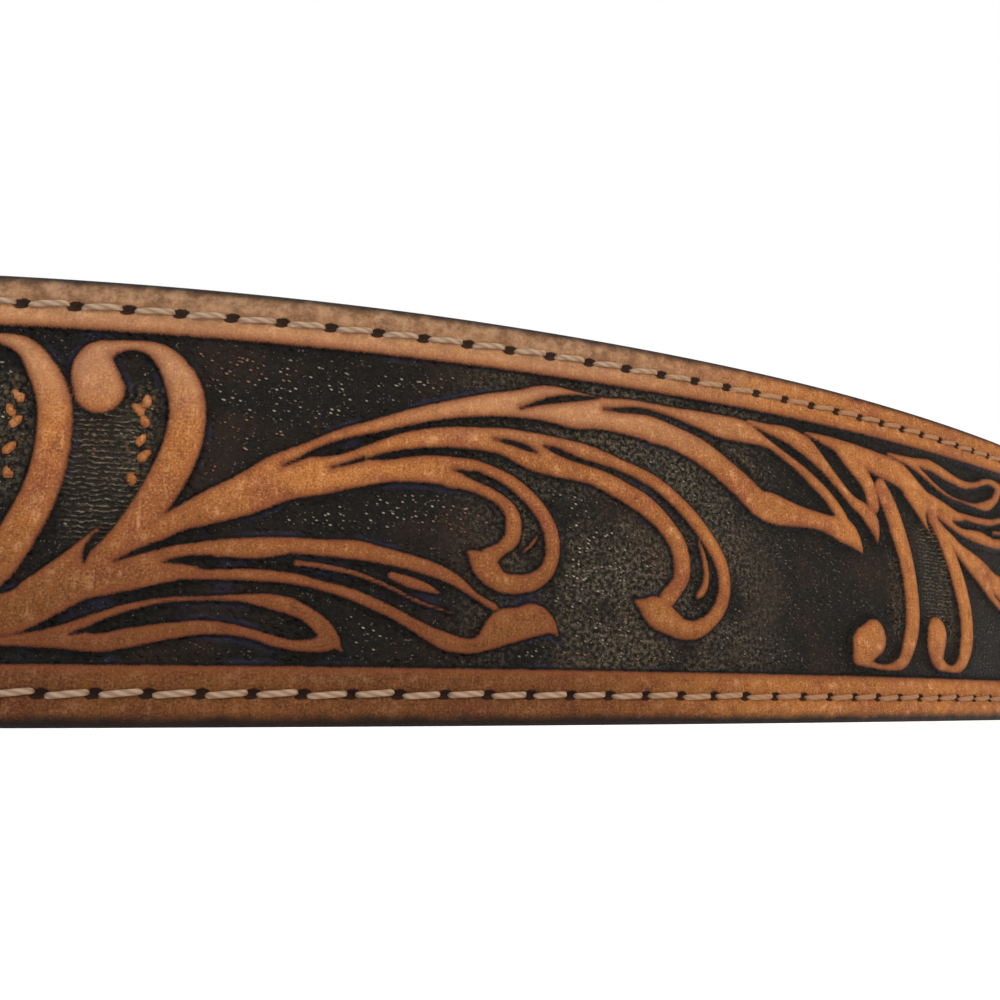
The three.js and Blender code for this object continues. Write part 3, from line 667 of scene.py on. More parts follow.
def cut_billet_holes(billet):
    """Cuts the punched holes and the prong's way through the billet."""
    angle, faces = circle(HOLE_SIDES), capped_tube(2, HOLE_SIDES)
    radius = HOLE_DIAMETER / 2
    for i in range(HOLE_COUNT):
        along = (i - (HOLE_COUNT - 1) / 2) * HOLE_PITCH
        out = float(billet_out(np.array(along)))
        stretch = WORN_HOLE if along == 0 else 1.0
        rings = np.stack([
            at_front(along + radius * stretch * np.cos(angle), out + level, MIDDLE + radius * np.sin(angle))
            for level in (-STRAP_THICKNESS - CLEARANCE / 2, STRAP_THICKNESS)
        ])
        cutter = make_object("hole_cutter", rings.reshape(-1, 3), faces, billet.data.materials[0])
        outward(cutter)
        cut = billet.modifiers.new("hole", "BOOLEAN")
        cut.object = cutter
        cut.operation = "DIFFERENCE"
        cut.solver = "EXACT"
        bpy.context.view_layer.update()
        evaluated = billet.evaluated_get(bpy.context.evaluated_depsgraph_get())
        holed = bpy.data.meshes.new_from_object(evaluated)
        billet.modifiers.clear()
        billet.data = holed
        bpy.data.objects.remove(cutter)


def build_strap(material):
    near_from, near_to = NEAR_RANGE
    main_end = HALF_LOOP + TIP_REACH
    middle_far = (near_to + FIELD_END) / 2
    pieces = []

    def run(name, stations, **caps):
        points, values = strap_rings(stations)
        pieces.append(strap_piece(name, points, stations, values, material, **caps))

    fold = fold_rings()
    heel = -HALF_LOOP + HEEL_OFFSET
    start = stations_between(heel, FIELD_START - 1, PLAIN_STEP)
    points, values = strap_rings(start)
    plain = {key: np.full(fold.shape[:2], PLAIN if key == "edge" else 0.0) for key in values}
    joined = {key: np.vstack([plain[key], values[key]]) for key in plain}
    fold_map = heel - np.cumsum(np.full(len(fold), FOLD_STEP))[::-1]
    pieces.append(strap_piece("strap_buckle_end", np.vstack([fold, points]),
                              np.concatenate([fold_map, start]), joined, material, cap_start=True))
    run("strap_right_side", stations_between(FIELD_START - 1, near_from, FAR_STEP))
    run("strap_back_right", stations_between(near_from, near_to, NEAR_STEP))
    run("strap_back_left", stations_between(near_to, middle_far, FAR_STEP))
    run("strap_left_side", stations_between(middle_far, FIELD_END + 1, FAR_STEP))
    tip = main_end - TIP_LENGTH * np.array(TIP_OUTLINE[0])[::-1]
    billet = np.concatenate([
        stations_between(FIELD_END + 1, tip[0], PLAIN_STEP / 2)[:-1],
        stations_between(tip[0], tip[1], 1)[:-1],
        stations_between(tip[1], tip[-1], 0.5),
    ])
    run("strap_billet", billet, cap_start=True, cap_end=True)
    outward(pieces[-1])
    cut_billet_holes(pieces[-1])
    for piece in pieces:
        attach(piece, "root")
    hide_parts("strap")


# Materials

class Graph:
    """Short calls for building one node material."""

    def __init__(self, name):
        self.material = bpy.data.materials.new(name)
        self.material.use_nodes = True
        self.tree = self.material.node_tree
        self.tree.nodes.clear()
        self.output = self.tree.nodes.new("ShaderNodeOutputMaterial")

    def node(self, kind, inputs=None, **settings):
        node = self.tree.nodes.new(kind)
        for key, value in settings.items():
            setattr(node, key, value)
        for key, value in (inputs or {}).items():
            self.feed(node.inputs[key], value)
        return node

    def feed(self, socket, value):
        if isinstance(value, bpy.types.NodeSocket):
            self.tree.links.new(value, socket)
        else:
            socket.default_value = value

    def math(self, operation, a, b=0.0, clamp=False):
        return self.node("ShaderNodeMath", {0: a, 1: b}, operation=operation, use_clamp=clamp).outputs[0]

    def times(self, a, b):
        return self.math("MULTIPLY", a, b)

    def plus(self, a, b):
        return self.math("ADD", a, b)

    def centred(self, noise, reach):
        """Noise about a half turned into noise about nought, scaled by reach."""
        return self.times(self.math("SUBTRACT", noise, 0.5), reach)

    def mix(self, factor, a, b, blend="MIX"):
        node = self.node("ShaderNodeMix", data_type="RGBA", blend_type=blend)
        self.feed(node.inputs[0], factor)
        self.feed(node.inputs[6], a)
        self.feed(node.inputs[7], b)
        return node.outputs[2]

    def blend(self, factor, a, b):
        """Mix of two numbers."""
        node = self.node("ShaderNodeMix", data_type="FLOAT")
        for socket, value in ((0, factor), (2, a), (3, b)):
            self.feed(node.inputs[socket], value)
        return node.outputs[0]

    def span(self, value, low, high, to_low=0.0, to_high=1.0):
        """Soft step of value between low and high."""
        inputs = {0: value, 1: low, 2: high, 3: to_low, 4: to_high}
        node = self.node("ShaderNodeMapRange", inputs, interpolation_type="SMOOTHSTEP", clamp=True)
        return node.outputs[0]

    def coat(self, base, tone, value, low, high, most=1.0):
        """Tints base with a screen colour as value goes from low to high."""
        return self.mix(self.span(value, low, high, 0, most), base, colour(*tone))

    def tint(self, base, tone, mask, share):
        return self.mix(self.times(mask, share), base, colour(*tone))

    def attribute(self, name):
        return self.node("ShaderNodeAttribute", attribute_name=name).outputs["Fac"]

    def millimetres(self):
        """Map coordinates in millimetres: along the strap and round its section."""
        uv = self.node("ShaderNodeUVMap", uv_map="strap_map").outputs[0]
        return self.node("ShaderNodeVectorMath", {0: uv, 3: 100.0}, operation="SCALE").outputs[0]

    def split(self, vector):
        return self.node("ShaderNodeSeparateXYZ", {0: vector}).outputs

    def mapped(self, vector, kind="POINT", **inputs):
        return self.node("ShaderNodeMapping", {"Vector": vector, **inputs}, vector_type=kind).outputs[0]

    def noise(self, vector, scale, detail=3.0, roughness=0.55):
        inputs = {"Vector": vector, "Scale": scale, "Detail": detail, "Roughness": roughness}
        return self.node("ShaderNodeTexNoise", inputs).outputs["Fac"]

    def bands(self, vector, direction, scale, distortion, detail):
        inputs = {"Vector": vector, "Scale": scale, "Distortion": distortion, "Detail": detail}
        node = self.node("ShaderNodeTexWave", inputs, wave_type="BANDS", bands_direction=direction)
        return node.outputs["Fac"]

    def cells(self, vector, scale, randomness=1.0, output="Distance"):
        inputs = {"Vector": vector, "Scale": scale, "Randomness": randomness}
        return self.node("ShaderNodeTexVoronoi", inputs).outputs[output]

    def bump(self, height, strength, distance):
        inputs = {"Height": height, "Strength": strength, "Distance": distance}
        return self.node("ShaderNodeBump", inputs).outputs[0]

    def finish(self, base, roughness, normal, **constants):
        shader = self.node("ShaderNodeBsdfPrincipled", {"Base Color": base, "Roughness": roughness})
        if normal is not None:
            self.feed(shader.inputs["Normal"], normal)
        for key, value in constants.items():
            shader.inputs[key.replace("_", " ")].default_value = value
        self.tree.links.new(shader.outputs[0], self.output.inputs["Surface"])
        return self.material


def colour(red, green, blue):
    """Linear colour from 0 to 255 screen values."""
    def linear(value):
        share = value / 255
        return share / 12.92 if share <= 0.04045 else ((share + 0.055) / 1.055) ** 2.4
    return (linear(red), linear(green), linear(blue), 1.0)


def tan_colour(g, mm):
    """Mottled tan of the grain, with the middling and the fine noise that it follows."""
    slow = g.noise(mm, 0.03, 2)
    blotch = g.noise(mm, 0.17, 4, 0.6)
    mottle = g.noise(mm, 0.7, 6, 0.72)
    fibre = g.noise(g.mapped(mm, Scale=(2.6, 0.6, 1.0)), 1.0, 4, 0.7)
    fine = g.noise(mm, 4.6, 3, 0.75)
    base = g.mix(g.span(slow, 0.38, 0.62), colour(142, 88, 44), colour(164, 104, 52))
    for noise, low, high, most, tone in (
        (blotch, 0.48, 0.68, 0.85, (134, 74, 46)),
        (mottle, 0.52, 0.7, 0.75, (200, 146, 102)),
        (mottle, 0.48, 0.3, 0.7, (92, 54, 32)),
        (fibre, 0.54, 0.7, 0.5, (206, 152, 106)),
        (fibre, 0.46, 0.3, 0.5, (96, 54, 31)),
        (fine, 0.52, 0.64, 0.6, (70, 38, 20)),
        (fine, 0.46, 0.34, 0.5, (214, 160, 108)),
    ):
        base = g.coat(base, tone, noise, low, high, most)
    return base, mottle, fine


def wave(g, around, crest, period):
    return g.math("COSINE", g.times(g.plus(around, PATTERN_ANCHOR - crest), 2 * math.pi / period))


def painted_light_wave(g, around):
    """Share of painted cool light at a distance round the strap, in slow waves. Where it is high, the
    painted shade low on the face, the painted sheen high on it and the painted glints and sheen on the
    ground are strongest. Where it is low, the thread takes a painted warm light.
    """
    return g.span(wave(g, around, COOL_LIGHT_CREST, 2 * REPEAT), -0.7, 0.6)


def tan_with_painted_light(g, tan, mottle, round_section, cool_light_side, ragged):
    """Tan with painted shade low on the face and a painted pale sheen high on it. It is darker towards the
    carved edges, partly from stain and partly from painted shade of the rounded forms.
    """
    # Painted shade: the tan darkens towards the bottom of the face.
    tan = g.mix(g.times(g.span(round_section, 25, 4, 0, 0.8), cool_light_side), tan, (0.24, 0.21, 0.22, 1), "MULTIPLY")
    # Painted sheen: a pale wash over the upper forms of the face.
    sheen_face = g.times(g.span(round_section, 46, 42), cool_light_side)
    tan = g.tint(tan, (180, 142, 112), g.span(round_section, 25, 31, 0, 0.35), sheen_face)
    # Painted sheen: a greyish tone on the top border above the seam.
    top_sheen = g.mix(g.span(mottle, 0.38, 0.62), colour(84, 64, 48), colour(150, 122, 96))
    tan = g.mix(g.times(g.span(round_section, 34, 37.5, 0, 0.7), sheen_face), tan, top_sheen)
    # Darker towards the carved edges: partly dye stain at the cuts, partly painted shade of the rounded
    # forms.
    tan = g.coat(tan, (112, 60, 34), ragged, 0.9, 0.0, 0.75)
    return g.coat(tan, (70, 38, 26), ragged, 0.25, 0.02, 0.75)


def dyed_ground(g, mm, around, edge, cloud, cool_light_side, ribs, pebbles):
    """Colour and height of the ground: soot black, rubbed brown in places, with a painted grey sheen where
    the field is open, matted with painted glints, with fine ribs between the crooks and pebbles by the seed
    beads, both with painted highlights."""
    # Painted grey sheen where the ground lies open.
    open_sheen = g.times(g.span(wave(g, around, GROUND_SHEEN_CREST, REPEAT), 0.1, 0.95), g.span(cloud, 0.3, 0.6))
    brown = g.noise(mm, 0.1, 3, 0.6)
    ground = g.mix(g.span(brown, 0.48, 0.66), colour(11, 10, 9), colour(30, 21, 16))
    scuff = g.noise(mm, 2.3, 4, 0.7)
    # Grey tint: painted sheen on the open ground, scuffing on the pebbled patches.
    sheen_and_scuff = g.plus(g.times(open_sheen, 0.7), g.times(pebbles, 0.4))
    ground = g.tint(ground, (108, 98, 82), g.span(scuff, 0.42, 0.68), g.plus(sheen_and_scuff, 0.05))

    # Painted glints: light dashes and specks on the ground, fewest near the walls.
    dots = g.cells(g.mapped(mm, "TEXTURE", Rotation=(0, 0, -0.3), Scale=(0.74, 0.4, 1.0)), 1.0, 0.9)
    pick = g.noise(mm, 1.3, 3)
    glint_dash = g.times(g.span(dots, 0.28, 0.1), g.span(pick, 0.36, 0.5))
    glint_dash = g.times(glint_dash, g.times(g.span(edge, -0.7, -1.5), g.span(cool_light_side, 0, 1, 0.45, 1)))
    glint_speck = g.times(g.span(g.cells(mm, 3.6), 0.3, 0.1), g.span(pick, 0.5, 0.4))
    glint = g.mix(g.span(brown, 0.46, 0.6), colour(176, 167, 150), colour(158, 116, 94))
    ground = g.mix(g.times(glint_dash, 0.75), ground, glint)
    ground = g.tint(ground, (150, 140, 126), glint_speck, 0.4)
    # Painted bluish sheen on the ground along the carved walls.
    wall_sheen = g.times(g.span(edge, -0.75, -0.3), g.span(g.noise(mm, 0.15, 3), 0.5, 0.62))
    ground = g.tint(ground, (44, 42, 66), g.times(wall_sheen, cool_light_side), 0.5)
    ground = g.coat(ground, (12, 10, 9), edge, -0.4, -0.1, 0.9)

    lift = g.node("ShaderNodeCombineXYZ", {1: g.times(g.noise(mm, 0.9, 3, 0.6), 0.9)}).outputs[0]
    wavy = g.node("ShaderNodeVectorMath", {0: mm, 1: lift}, operation="ADD").outputs[0]
    rib = g.bands(wavy, "Y", 0.68, 1.0, 3.0)
    broken = g.noise(g.mapped(mm, Scale=(1.0, 3.0, 1.0)), 1.6, 3, 0.7)
    # Painted highlights along the ribs.
    rib_highlight = g.times(g.times(g.span(rib, 0.45, 1.0), g.span(broken, 0.42, 0.68)), ribs)
    ground = g.tint(ground, (46, 42, 34), ribs, 0.4)
    ground = g.tint(ground, (150, 140, 120), rib_highlight, 0.6)
    pebble = g.cells(mm, 1.25)
    pebble_tone = g.node("ShaderNodeSeparateColor", {0: g.cells(mm, 1.25, output="Color")}).outputs[0]
    # Painted highlights on the middles of the pebbles.
    pebble_highlight = g.times(g.span(pebble, 0.5, 0.2), g.times(pebbles, pebble_tone))
    ground = g.tint(ground, (110, 92, 70), pebble_highlight, 0.6)

    height = g.plus(g.span(dots, 0.05, 0.5, 1.0, 0), g.times(scuff, 1.6))
    height = g.plus(height, g.times(rib, g.times(ribs, 1.5)))
    height = g.plus(height, g.times(g.span(pebble, 0.15, 0.5, 3.0, 0), pebbles))
    return ground, height


def rim_mask(g, mm, round_section):
    """How dark the burnished edge is, by the place round the section, with a wavering line."""
    spot = g.plus(round_section, g.centred(g.noise(mm, 0.5, 3), 0.9))
    face_length, total = float(SECTION_MAP[FACE.stop - 1]), float(SECTION_MAP[-1])
    low = g.span(spot, *RIM_LOW)
    top = g.span(spot, *(face_length - run for run in RIM_TOP))
    on_back = g.span(spot, *(face_length + run for run in RIM_BACK_TOP))
    back_end = g.span(spot, *(total - run for run in RIM_BACK_LOW))
    return g.math("MAXIMUM", low, g.math("MAXIMUM", g.math("SUBTRACT", top, on_back, True), back_end))


def carved_leather():
    g = Graph("carved_leather")
    mm = g.millimetres()
    around, round_section, _ = g.split(mm)
    edge, hole, ribs, pebbles = (g.attribute(name) for name in ("edge", "hole", "ribs", "pebbles"))
    fray = g.noise(mm, 6.5, 3, 0.65)
    ragged = g.plus(g.plus(edge, g.centred(fray, 0.4)), g.centred(g.noise(mm, 1.3, 2), 0.2))
    is_tan = g.span(ragged, -0.05, 0.05)
    cloud = g.noise(mm, 0.12, 3, 0.6)
    cool_light_side = painted_light_wave(g, around)
    tan, mottle, fine = tan_colour(g, mm)
    tan = tan_with_painted_light(g, tan, mottle, round_section, cool_light_side, ragged)
    ground, matting = dyed_ground(g, mm, around, edge, cloud, cool_light_side, ribs, pebbles)

    face = g.mix(is_tan, ground, tan)
    # Painted shade in the awl holes, with a ragged edge.
    ragged_hole_shade = g.plus(hole, g.centred(fray, 0.5))
    face = g.coat(face, (26, 14, 10), ragged_hole_shade, 0.25, 0.6, 0.95)
    face = g.mix(rim_mask(g, mm, round_section), face, colour(30, 17, 12))
    grain = g.plus(g.times(mottle, 0.5), g.times(fine, 0.7))
    normal = g.bump(g.blend(is_tan, matting, grain), 1.0, 0.0002)
    rough = g.blend(is_tan, g.span(cloud, 0.3, 0.7, 0.46, 0.34), g.span(mottle, 0.3, 0.7, 0.6, 0.45))
    return g.finish(face, rough, normal, Specular_IOR_Level=0.11)


def thread_material():
    g = Graph("waxed_thread")
    mm = g.millimetres()
    ply = g.bands(mm, "DIAGONAL", 0.36, 1.5, 2.0)
    fuzz = g.noise(mm, 3.0, 4, 0.6)
    base = g.mix(ply, colour(122, 98, 78), colour(160, 134, 110))
    base = g.coat(base, (118, 90, 70), fuzz, 0.5, 0.75, 0.5)
    # Painted warm light: the thread turns tan on the side away from the painted cool light.
    warm_lit = g.math("SUBTRACT", 1.0, painted_light_wave(g, g.split(mm)[0]))
    base = g.tint(base, (138, 92, 55), warm_lit, 0.8)
    height = g.plus(ply, g.times(fuzz, 0.5))
    return g.finish(base, 0.62, g.bump(height, 0.4, 0.00008))


def seam_object(name, face_out, side, material):
    """All stitches of both seams on one side of the strap, as one mesh. The side is 1 for the face, -1 for
    the back."""
    share = np.array([-1, -0.93, -0.8, -0.5, -0.17, 0.17, 0.5, 0.8, 0.93, 1])
    angle = circle(STITCH_SIDES)
    radius = (THREAD_RADIUS * np.interp(np.abs(share), [0, 0.8, 0.93, 1], [1.0, 0.95, 0.8, 0.45]))[:, None]
    lift = (THREAD_RADIUS * (0.4 - 1.9 * np.abs(share) ** 5))[:, None]
    share = share[:, None]
    points, maps = [], []
    for seam in (SEAM_LOW, SEAM_TOP):
        centres = (seam_holes(seam)[:-1] + seam["pitch"] / 2)[:, None, None]
        squeeze = (width_at(centres - HALF_LOOP) - 2 * STITCH_INSET) / (STRAP_WIDTH - 2 * STITCH_INSET)
        jitter = np.sin(centres * 12.9) * STITCH_STRAY
        slant = STITCH_SLANT * side + np.cos(centres * 7.7) * SLANT_STRAY
        around = centres + share * STITCH_LENGTH / 2 + 0 * angle
        across = slant * share + jitter + radius * np.sin(angle)
        up = MIDDLE + (seam["up"] - MIDDLE) * squeeze + across
        out = billet_out(around - HALF_LOOP) + face_out + side * (lift + 0.8 * radius * np.cos(angle))
        points.append(place(around, out, up))
        maps.append(np.stack([around, across * 3 + seam["up"]], axis=-1))
    points, flat_map = np.concatenate(points), np.concatenate(maps).reshape(-1, 2)
    offsets = (np.arange(len(points)) * len(share) * STITCH_SIDES)[:, None, None]
    faces = [(f[None, :, ::side] + offsets).reshape(-1, f.shape[1])
             for f in capped_tube(len(share), STITCH_SIDES)]
    uv = np.concatenate([flat_map[f.ravel()] for f in faces]) / 100
    seam = make_object(name, points.reshape(-1, 3), faces, material, uv=uv)
    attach(seam, "root")


def build_seams(material):
    seam_object("seam_thread_face", -FACE_SINK, 1, material)
    seam_object("seam_thread_back", -STRAP_THICKNESS + BACK_SINK, -1, material)


# Buckle and keeper

def frame_line():
    """Centreline of the buckle's frame and its outward direction: along, up, normal along, normal up."""
    edge = FRAME_BAR / 2
    low, high = edge, STRAP_WIDTH - edge
    heel, nose = HEEL_OFFSET - HEEL_CORNER, -NOSE_OFFSET + NOSE_CORNER
    rows = []

    def arc(along, up, radius, start, steps):
        for angle in np.radians(np.linspace(start, start + 90, steps)):
            c, s = math.cos(angle), math.sin(angle)
            rows.append((along + radius * c, up + radius * s, c, s))

    def bar(start, end, normal, steps):
        for share in np.linspace(0, 1, steps)[1:-1]:
            rows.append((lerp(start[0], end[0], share), lerp(start[1], end[1], share), *normal))

    arc(heel, low + HEEL_CORNER, HEEL_CORNER, 270, HEEL_STEPS)
    bar((HEEL_OFFSET, low + HEEL_CORNER), (HEEL_OFFSET, high - HEEL_CORNER), (1, 0), BAR_STEPS)
    arc(heel, high - HEEL_CORNER, HEEL_CORNER, 0, HEEL_STEPS)
    bar((heel, high), (nose, high), (0, 1), SIDE_STEPS)
    arc(nose, high - NOSE_CORNER, NOSE_CORNER, 90, NOSE_STEPS)
    bar((-NOSE_OFFSET, high - NOSE_CORNER), (-NOSE_OFFSET, low + NOSE_CORNER), (-1, 0), BAR_STEPS - 2)
    arc(nose, low + NOSE_CORNER, NOSE_CORNER, 180, NOSE_STEPS)
    bar((nose, low), (heel, low), (0, -1), SIDE_STEPS)
    return np.array(rows)


def superellipse(angle, power):
    c, s = np.cos(angle), np.sin(angle)
    return np.sign(c) * np.abs(c) ** power, np.sign(s) * np.abs(s) ** power


def build_buckle(material):
    line = frame_line()
    along, up, normal_along, normal_up = line.T[:, :, None]
    towards_nose = smooth(-along, HEEL_CORNER - HEEL_OFFSET, NOSE_OFFSET - NOSE_CORNER)
    on_nose = smooth(-along, NOSE_OFFSET - NOSE_CORNER, NOSE_OFFSET)
    on_heel = smooth(along, HEEL_OFFSET - HEEL_CORNER, HEEL_OFFSET)
    axis = lerp(HEEL_AXIS, NOSE_AXIS, towards_nose)
    half_width = lerp(lerp(FRAME_BAR / 2, NOSE_BAR / 2, on_nose), HEEL_BAR_RADIUS, on_heel)
    half_thick = lerp(FRAME_THICKNESS / 2, HEEL_BAR_RADIUS, on_heel)
    across, lift = superellipse(circle(BAR_SIDES), FRAME_SQUARENESS)
    points = at_front(along + normal_along * half_width * across, axis + half_thick * lift,
                      up + normal_up * half_width * across)
    frame_faces = tube_faces(len(line), BAR_SIDES, True)

    shares = np.linspace(0, PRONG_LINE[0][-1], PRONG_STEPS)
    rise = NOSE_AXIS + FRAME_THICKNESS / 2 + PRONG_THICKNESS / 2 - CLEARANCE - HEEL_AXIS
    stations = np.array([PRONG_LINE[0], PRONG_LINE[1], [0] * len(PRONG_LINE[0])]).T
    soft = resample(stations, 6)
    prong_along = lerp(HEEL_OFFSET, -NOSE_OFFSET, shares)
    prong_out = HEEL_AXIS + rise * np.interp(shares, soft[:, 0], soft[:, 1])
    slope = np.gradient(prong_out, prong_along)
    run = np.hypot(1, slope)
    tip_from, tip_run = PRONG_TIP
    tip = np.sqrt(np.clip(1 - (np.clip(shares - tip_from, 0, None) / tip_run) ** 2, 0.02, 1))
    flat, high = superellipse(circle(PRONG_SIDES), PRONG_SQUARENESS)
    taper = tip * np.interp(shares, *PRONG_TAPER)
    half_high = (PRONG_THICKNESS / 2 * np.maximum(taper, 0.15))[:, None] * high
    prong = at_front(prong_along[:, None] - (slope / run)[:, None] * half_high,
                     prong_out[:, None] + (1 / run)[:, None] * half_high,
                     MIDDLE + (PRONG_WIDTH / 2 * taper)[:, None] * flat)
    shift = points.shape[0] * points.shape[1]
    faces = [frame_faces] + [f[:, ::-1] + shift for f in capped_tube(PRONG_STEPS, PRONG_SIDES)]
    everything = np.concatenate([points.reshape(-1, 3), prong.reshape(-1, 3)])
    buckle = make_object("buckle_frame", everything, faces, material)
    outward(buckle)
    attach(buckle, "root")
    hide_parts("buckle")


def metal_material():
    g = Graph("worn_nickel")
    spot = g.node("ShaderNodeTexCoord").outputs["Object"]
    cloud = g.noise(spot, 160, 4, 0.6)
    brushed = g.noise(g.mapped(spot, Scale=(60, 60, 1400)), 1.0, 3, 0.6)
    scratch = g.noise(g.mapped(spot, Scale=(900, 120, 300)), 1, 4)
    base = g.mix(g.span(cloud, 0.35, 0.7), colour(176, 170, 158), colour(198, 194, 186))
    base = g.coat(base, (120, 112, 100), scratch, 0.62, 0.72, 0.5)
    rough = g.plus(g.span(cloud, 0.3, 0.7, 0.2, 0.34), g.times(brushed, 0.1))
    height = g.plus(brushed, g.times(scratch, 0.6))
    return g.finish(base, rough, g.bump(height, 0.25, 0.00003), Metallic=1.0)


def build_keeper(material):
    """Leather loop with a creased line near each edge."""
    low, high = MIDDLE - BILLET_WIDTH / 2 - CLEARANCE, MIDDLE + BILLET_WIDTH / 2 + CLEARANCE
    inside, outside = -(FLAP_GRAIN + CLEARANCE), BILLET_RISE + CLEARANCE
    half = KEEPER_WIDTH / 2
    inset, depth, spread = KEEPER_CREASE
    rim = np.array([0.0, 0.0, 0.15, 0.5])
    flat = np.linspace(-half + 0.8, half - 0.8, KEEPER_STEPS)
    across = np.concatenate([rim - half, flat, half - rim[::-1]])
    crease = sum(np.exp(-(((across - at) / spread) ** 2)) for at in (inset - half, half - inset)) * depth
    rim_wall = [0.05, 0.6, 0.9, 0.98]
    wall = np.concatenate([rim_wall, np.ones(KEEPER_STEPS), rim_wall[::-1]]) * KEEPER_WALL - crease
    wall[0] = wall[-1] = 0
    rings = []
    corners = [(outside, high, 0), (inside, high, 90), (inside, low, 180), (outside, low, 270)]
    for n, (out, up, start) in enumerate(corners):
        for angle in np.radians(np.linspace(start, start + 90, KEEPER_CORNER_STEPS)):
            rings.append((out, up, math.cos(angle), math.sin(angle)))
        next_out, next_up, _ = corners[(n + 1) % 4]
        turn = math.radians(start + 90)
        for share in np.linspace(0, 1, KEEPER_SIDE_STEPS)[1:-1]:
            rings.append((lerp(out, next_out, share), lerp(up, next_up, share),
                          math.cos(turn), math.sin(turn)))
    out, up, c, s = np.array(rings).T[:, :, None]
    points = at_front(KEEPER_OFFSET + across, out + c * wall, up + s * wall)
    count = len(across)
    steps = np.linalg.norm(np.diff(points[:, count // 2], axis=0), axis=1)
    length = np.concatenate([[0], np.cumsum(steps)]) / MM
    quads = tube_faces(len(rings), count, True)
    uv = np.stack([length[quads.ravel() // count], across[quads.ravel() % count]], axis=1) / 100
    plain = {"edge": np.full(len(points) * count, PLAIN), "hole": np.zeros(len(points) * count)}
    keeper = make_object("keeper_loop", points.reshape(-1, 3), [quads], material, uv=uv, attributes=plain)
    outward(keeper)
    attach(keeper, "root")
    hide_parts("keeper")


def keeper_material():
    g = Graph("keeper_leather")
    mm = g.millimetres()
    tan, mottle, fine = tan_colour(g, mm)
    off = g.math("ABSOLUTE", g.split(mm)[1])
    half = KEEPER_WIDTH / 2
    tan = g.coat(tan, (60, 40, 32), off, half - 1.0, half - 0.2)
    from_crease = g.math("ABSOLUTE", g.math("SUBTRACT", off, half - KEEPER_CREASE[0]))
    tan = g.coat(tan, (80, 48, 34), from_crease, 0.4, 0.05, 0.6)
    height = g.plus(g.times(mottle, 0.5), g.times(fine, 0.35))
    return g.finish(tan, 0.56, g.bump(height, 0.5, 0.00015))


# Stage

FLOOR_HALF = 6.0
# Area lights: name, what it faces (round the loop and up), how far from there forward, right and up in
# metres, size, power, tint
AREA_LIGHTS = [
    ("key", (-128.0, 24.0), (-0.15, -0.02, 0.17), (0.12, 0.1), 0.19, (1, 1, 1)),
    ("warm", (-35.0, 20.0), (-0.2, 0.2, 0.2), (0.16, 0.16), 0.75, (1, 0.84, 0.64)),
    ("front", (-85.0, 20.0), (-0.55, 0.05, 0.2), (0.25, 0.16), 0.15, (1, 1, 1)),
]
SUN_POWER = 1.7
SUN_ANGLE = 1.6
WORLD_LIGHT = 0.14  # what lights the belt
WORLD_SEEN = 1.0  # what shows behind it
CAMERA_BACK = 160.0  # distance round the loop, towards +X, of the strap point that the camera is set from
CAMERA_RIGHT = 57.23
CAMERA_OFF = 78.2
CAMERA_HEIGHT = 1.66
CAMERA_PITCH = math.radians(11.69)
CAMERA_TURN = math.radians(2.37)  # of the strap at that point, from the picture's plane


def build_camera():
    x, y, out_x, out_y = (float(v) for v in on_loop(-CAMERA_BACK))
    heading = math.atan2(out_x, -out_y)  # direction round the loop
    right = Vector((math.cos(heading - CAMERA_TURN), math.sin(heading - CAMERA_TURN), 0))
    forward = Vector((-right.y, right.x, 0))
    eye = Vector((x, y, CAMERA_HEIGHT)) + CAMERA_RIGHT * right - CAMERA_OFF * forward
    look = math.cos(CAMERA_PITCH) * forward + math.sin(CAMERA_PITCH) * Vector((0, 0, 1))
    above = right.cross(look)
    camera = bpy.data.objects.new("camera", bpy.data.cameras.new("camera"))
    camera.data.sensor_width = 36
    camera.data.lens = 36
    camera.data.clip_start = 0.001
    camera.matrix_world = Matrix.Translation(eye * MM) @ Matrix((right, above, -look)).transposed().to_4x4()
    bpy.context.scene.collection.objects.link(camera)
    bpy.context.scene.camera = camera
    return right, forward


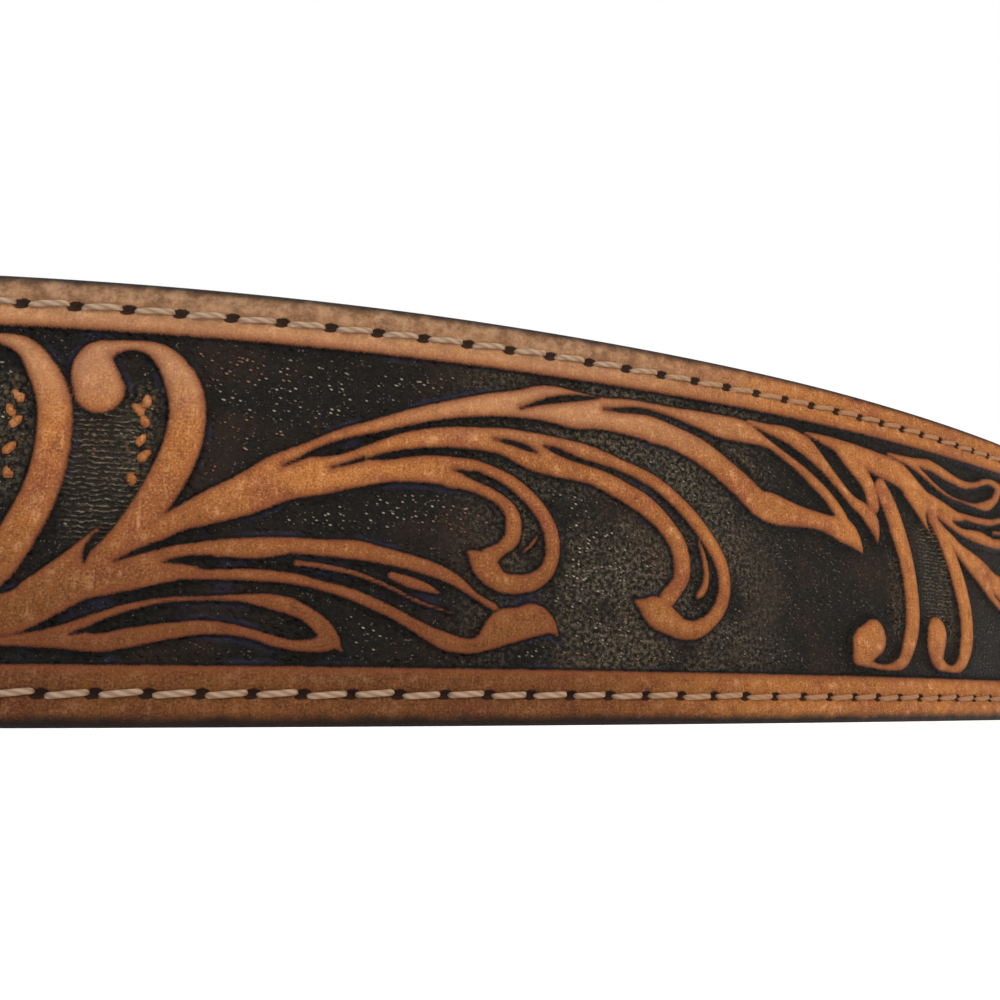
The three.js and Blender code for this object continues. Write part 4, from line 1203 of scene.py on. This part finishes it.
def build_floor():
    half = FLOOR_HALF
    points = [(-half, -half, 0), (half, -half, 0), (half, half, 0), (-half, half, 0)]
    g = Graph("pale_floor")
    spot = g.node("ShaderNodeTexCoord").outputs["Object"]
    tone = g.mix(g.noise(spot, 3, 2), colour(249, 249, 249), colour(253, 253, 253))
    pale = g.finish(tone, 0.9, None, Specular_IOR_Level=0.1, Emission_Color=(1, 1, 1, 1),
                    Emission_Strength=0.35)
    floor = make_object("floor", np.array(points), [np.array([[0, 1, 2, 3]])], pale)


def area_light(name, spot, aim, size, power, tint):
    light = bpy.data.lights.new(name, "AREA")
    light.shape = "RECTANGLE"
    light.size, light.size_y = size
    light.energy = power
    light.color = tint
    obj = bpy.data.objects.new(name, light)
    turn = (Vector(aim) - Vector(spot)).to_track_quat("-Z", "Y").to_matrix().to_4x4()
    obj.matrix_world = Matrix.Translation(spot) @ turn
    bpy.context.scene.collection.objects.link(obj)


def build_lights(right, forward):
    bpy.context.scene.view_settings.view_transform = "Standard"
    world = bpy.data.worlds.new("studio")
    bpy.context.scene.world = world
    world.use_nodes = True
    nodes, links = world.node_tree.nodes, world.node_tree.links
    seen = nodes.new("ShaderNodeLightPath")
    strength = nodes.new("ShaderNodeMapRange")
    strength.inputs["To Min"].default_value = WORLD_LIGHT
    strength.inputs["To Max"].default_value = WORLD_SEEN
    links.new(seen.outputs["Is Camera Ray"], strength.inputs["Value"])
    links.new(strength.outputs[0], nodes["Background"].inputs[1])
    nodes["Background"].inputs[0].default_value = (1, 1, 1, 1)
    for name, (around, up), (ahead, aside, above), size, power, tint in AREA_LIGHTS:
        aim = Vector(place(np.array(around), np.array(0.0), np.array(up)))
        spot = aim + ahead * forward + aside * right + above * Vector((0, 0, 1))
        area_light(name, spot, aim, size, power, tint)
    sun = bpy.data.lights.new("top", "SUN")
    sun.energy = SUN_POWER
    sun.angle = SUN_ANGLE
    bpy.context.scene.collection.objects.link(bpy.data.objects.new("top", sun))


right, forward = build_camera()
build_floor()
build_strap(carved_leather())
build_seams(thread_material())
build_buckle(metal_material())
build_keeper(keeper_material())
build_lights(right, forward)

bpy.context.view_layer.update()
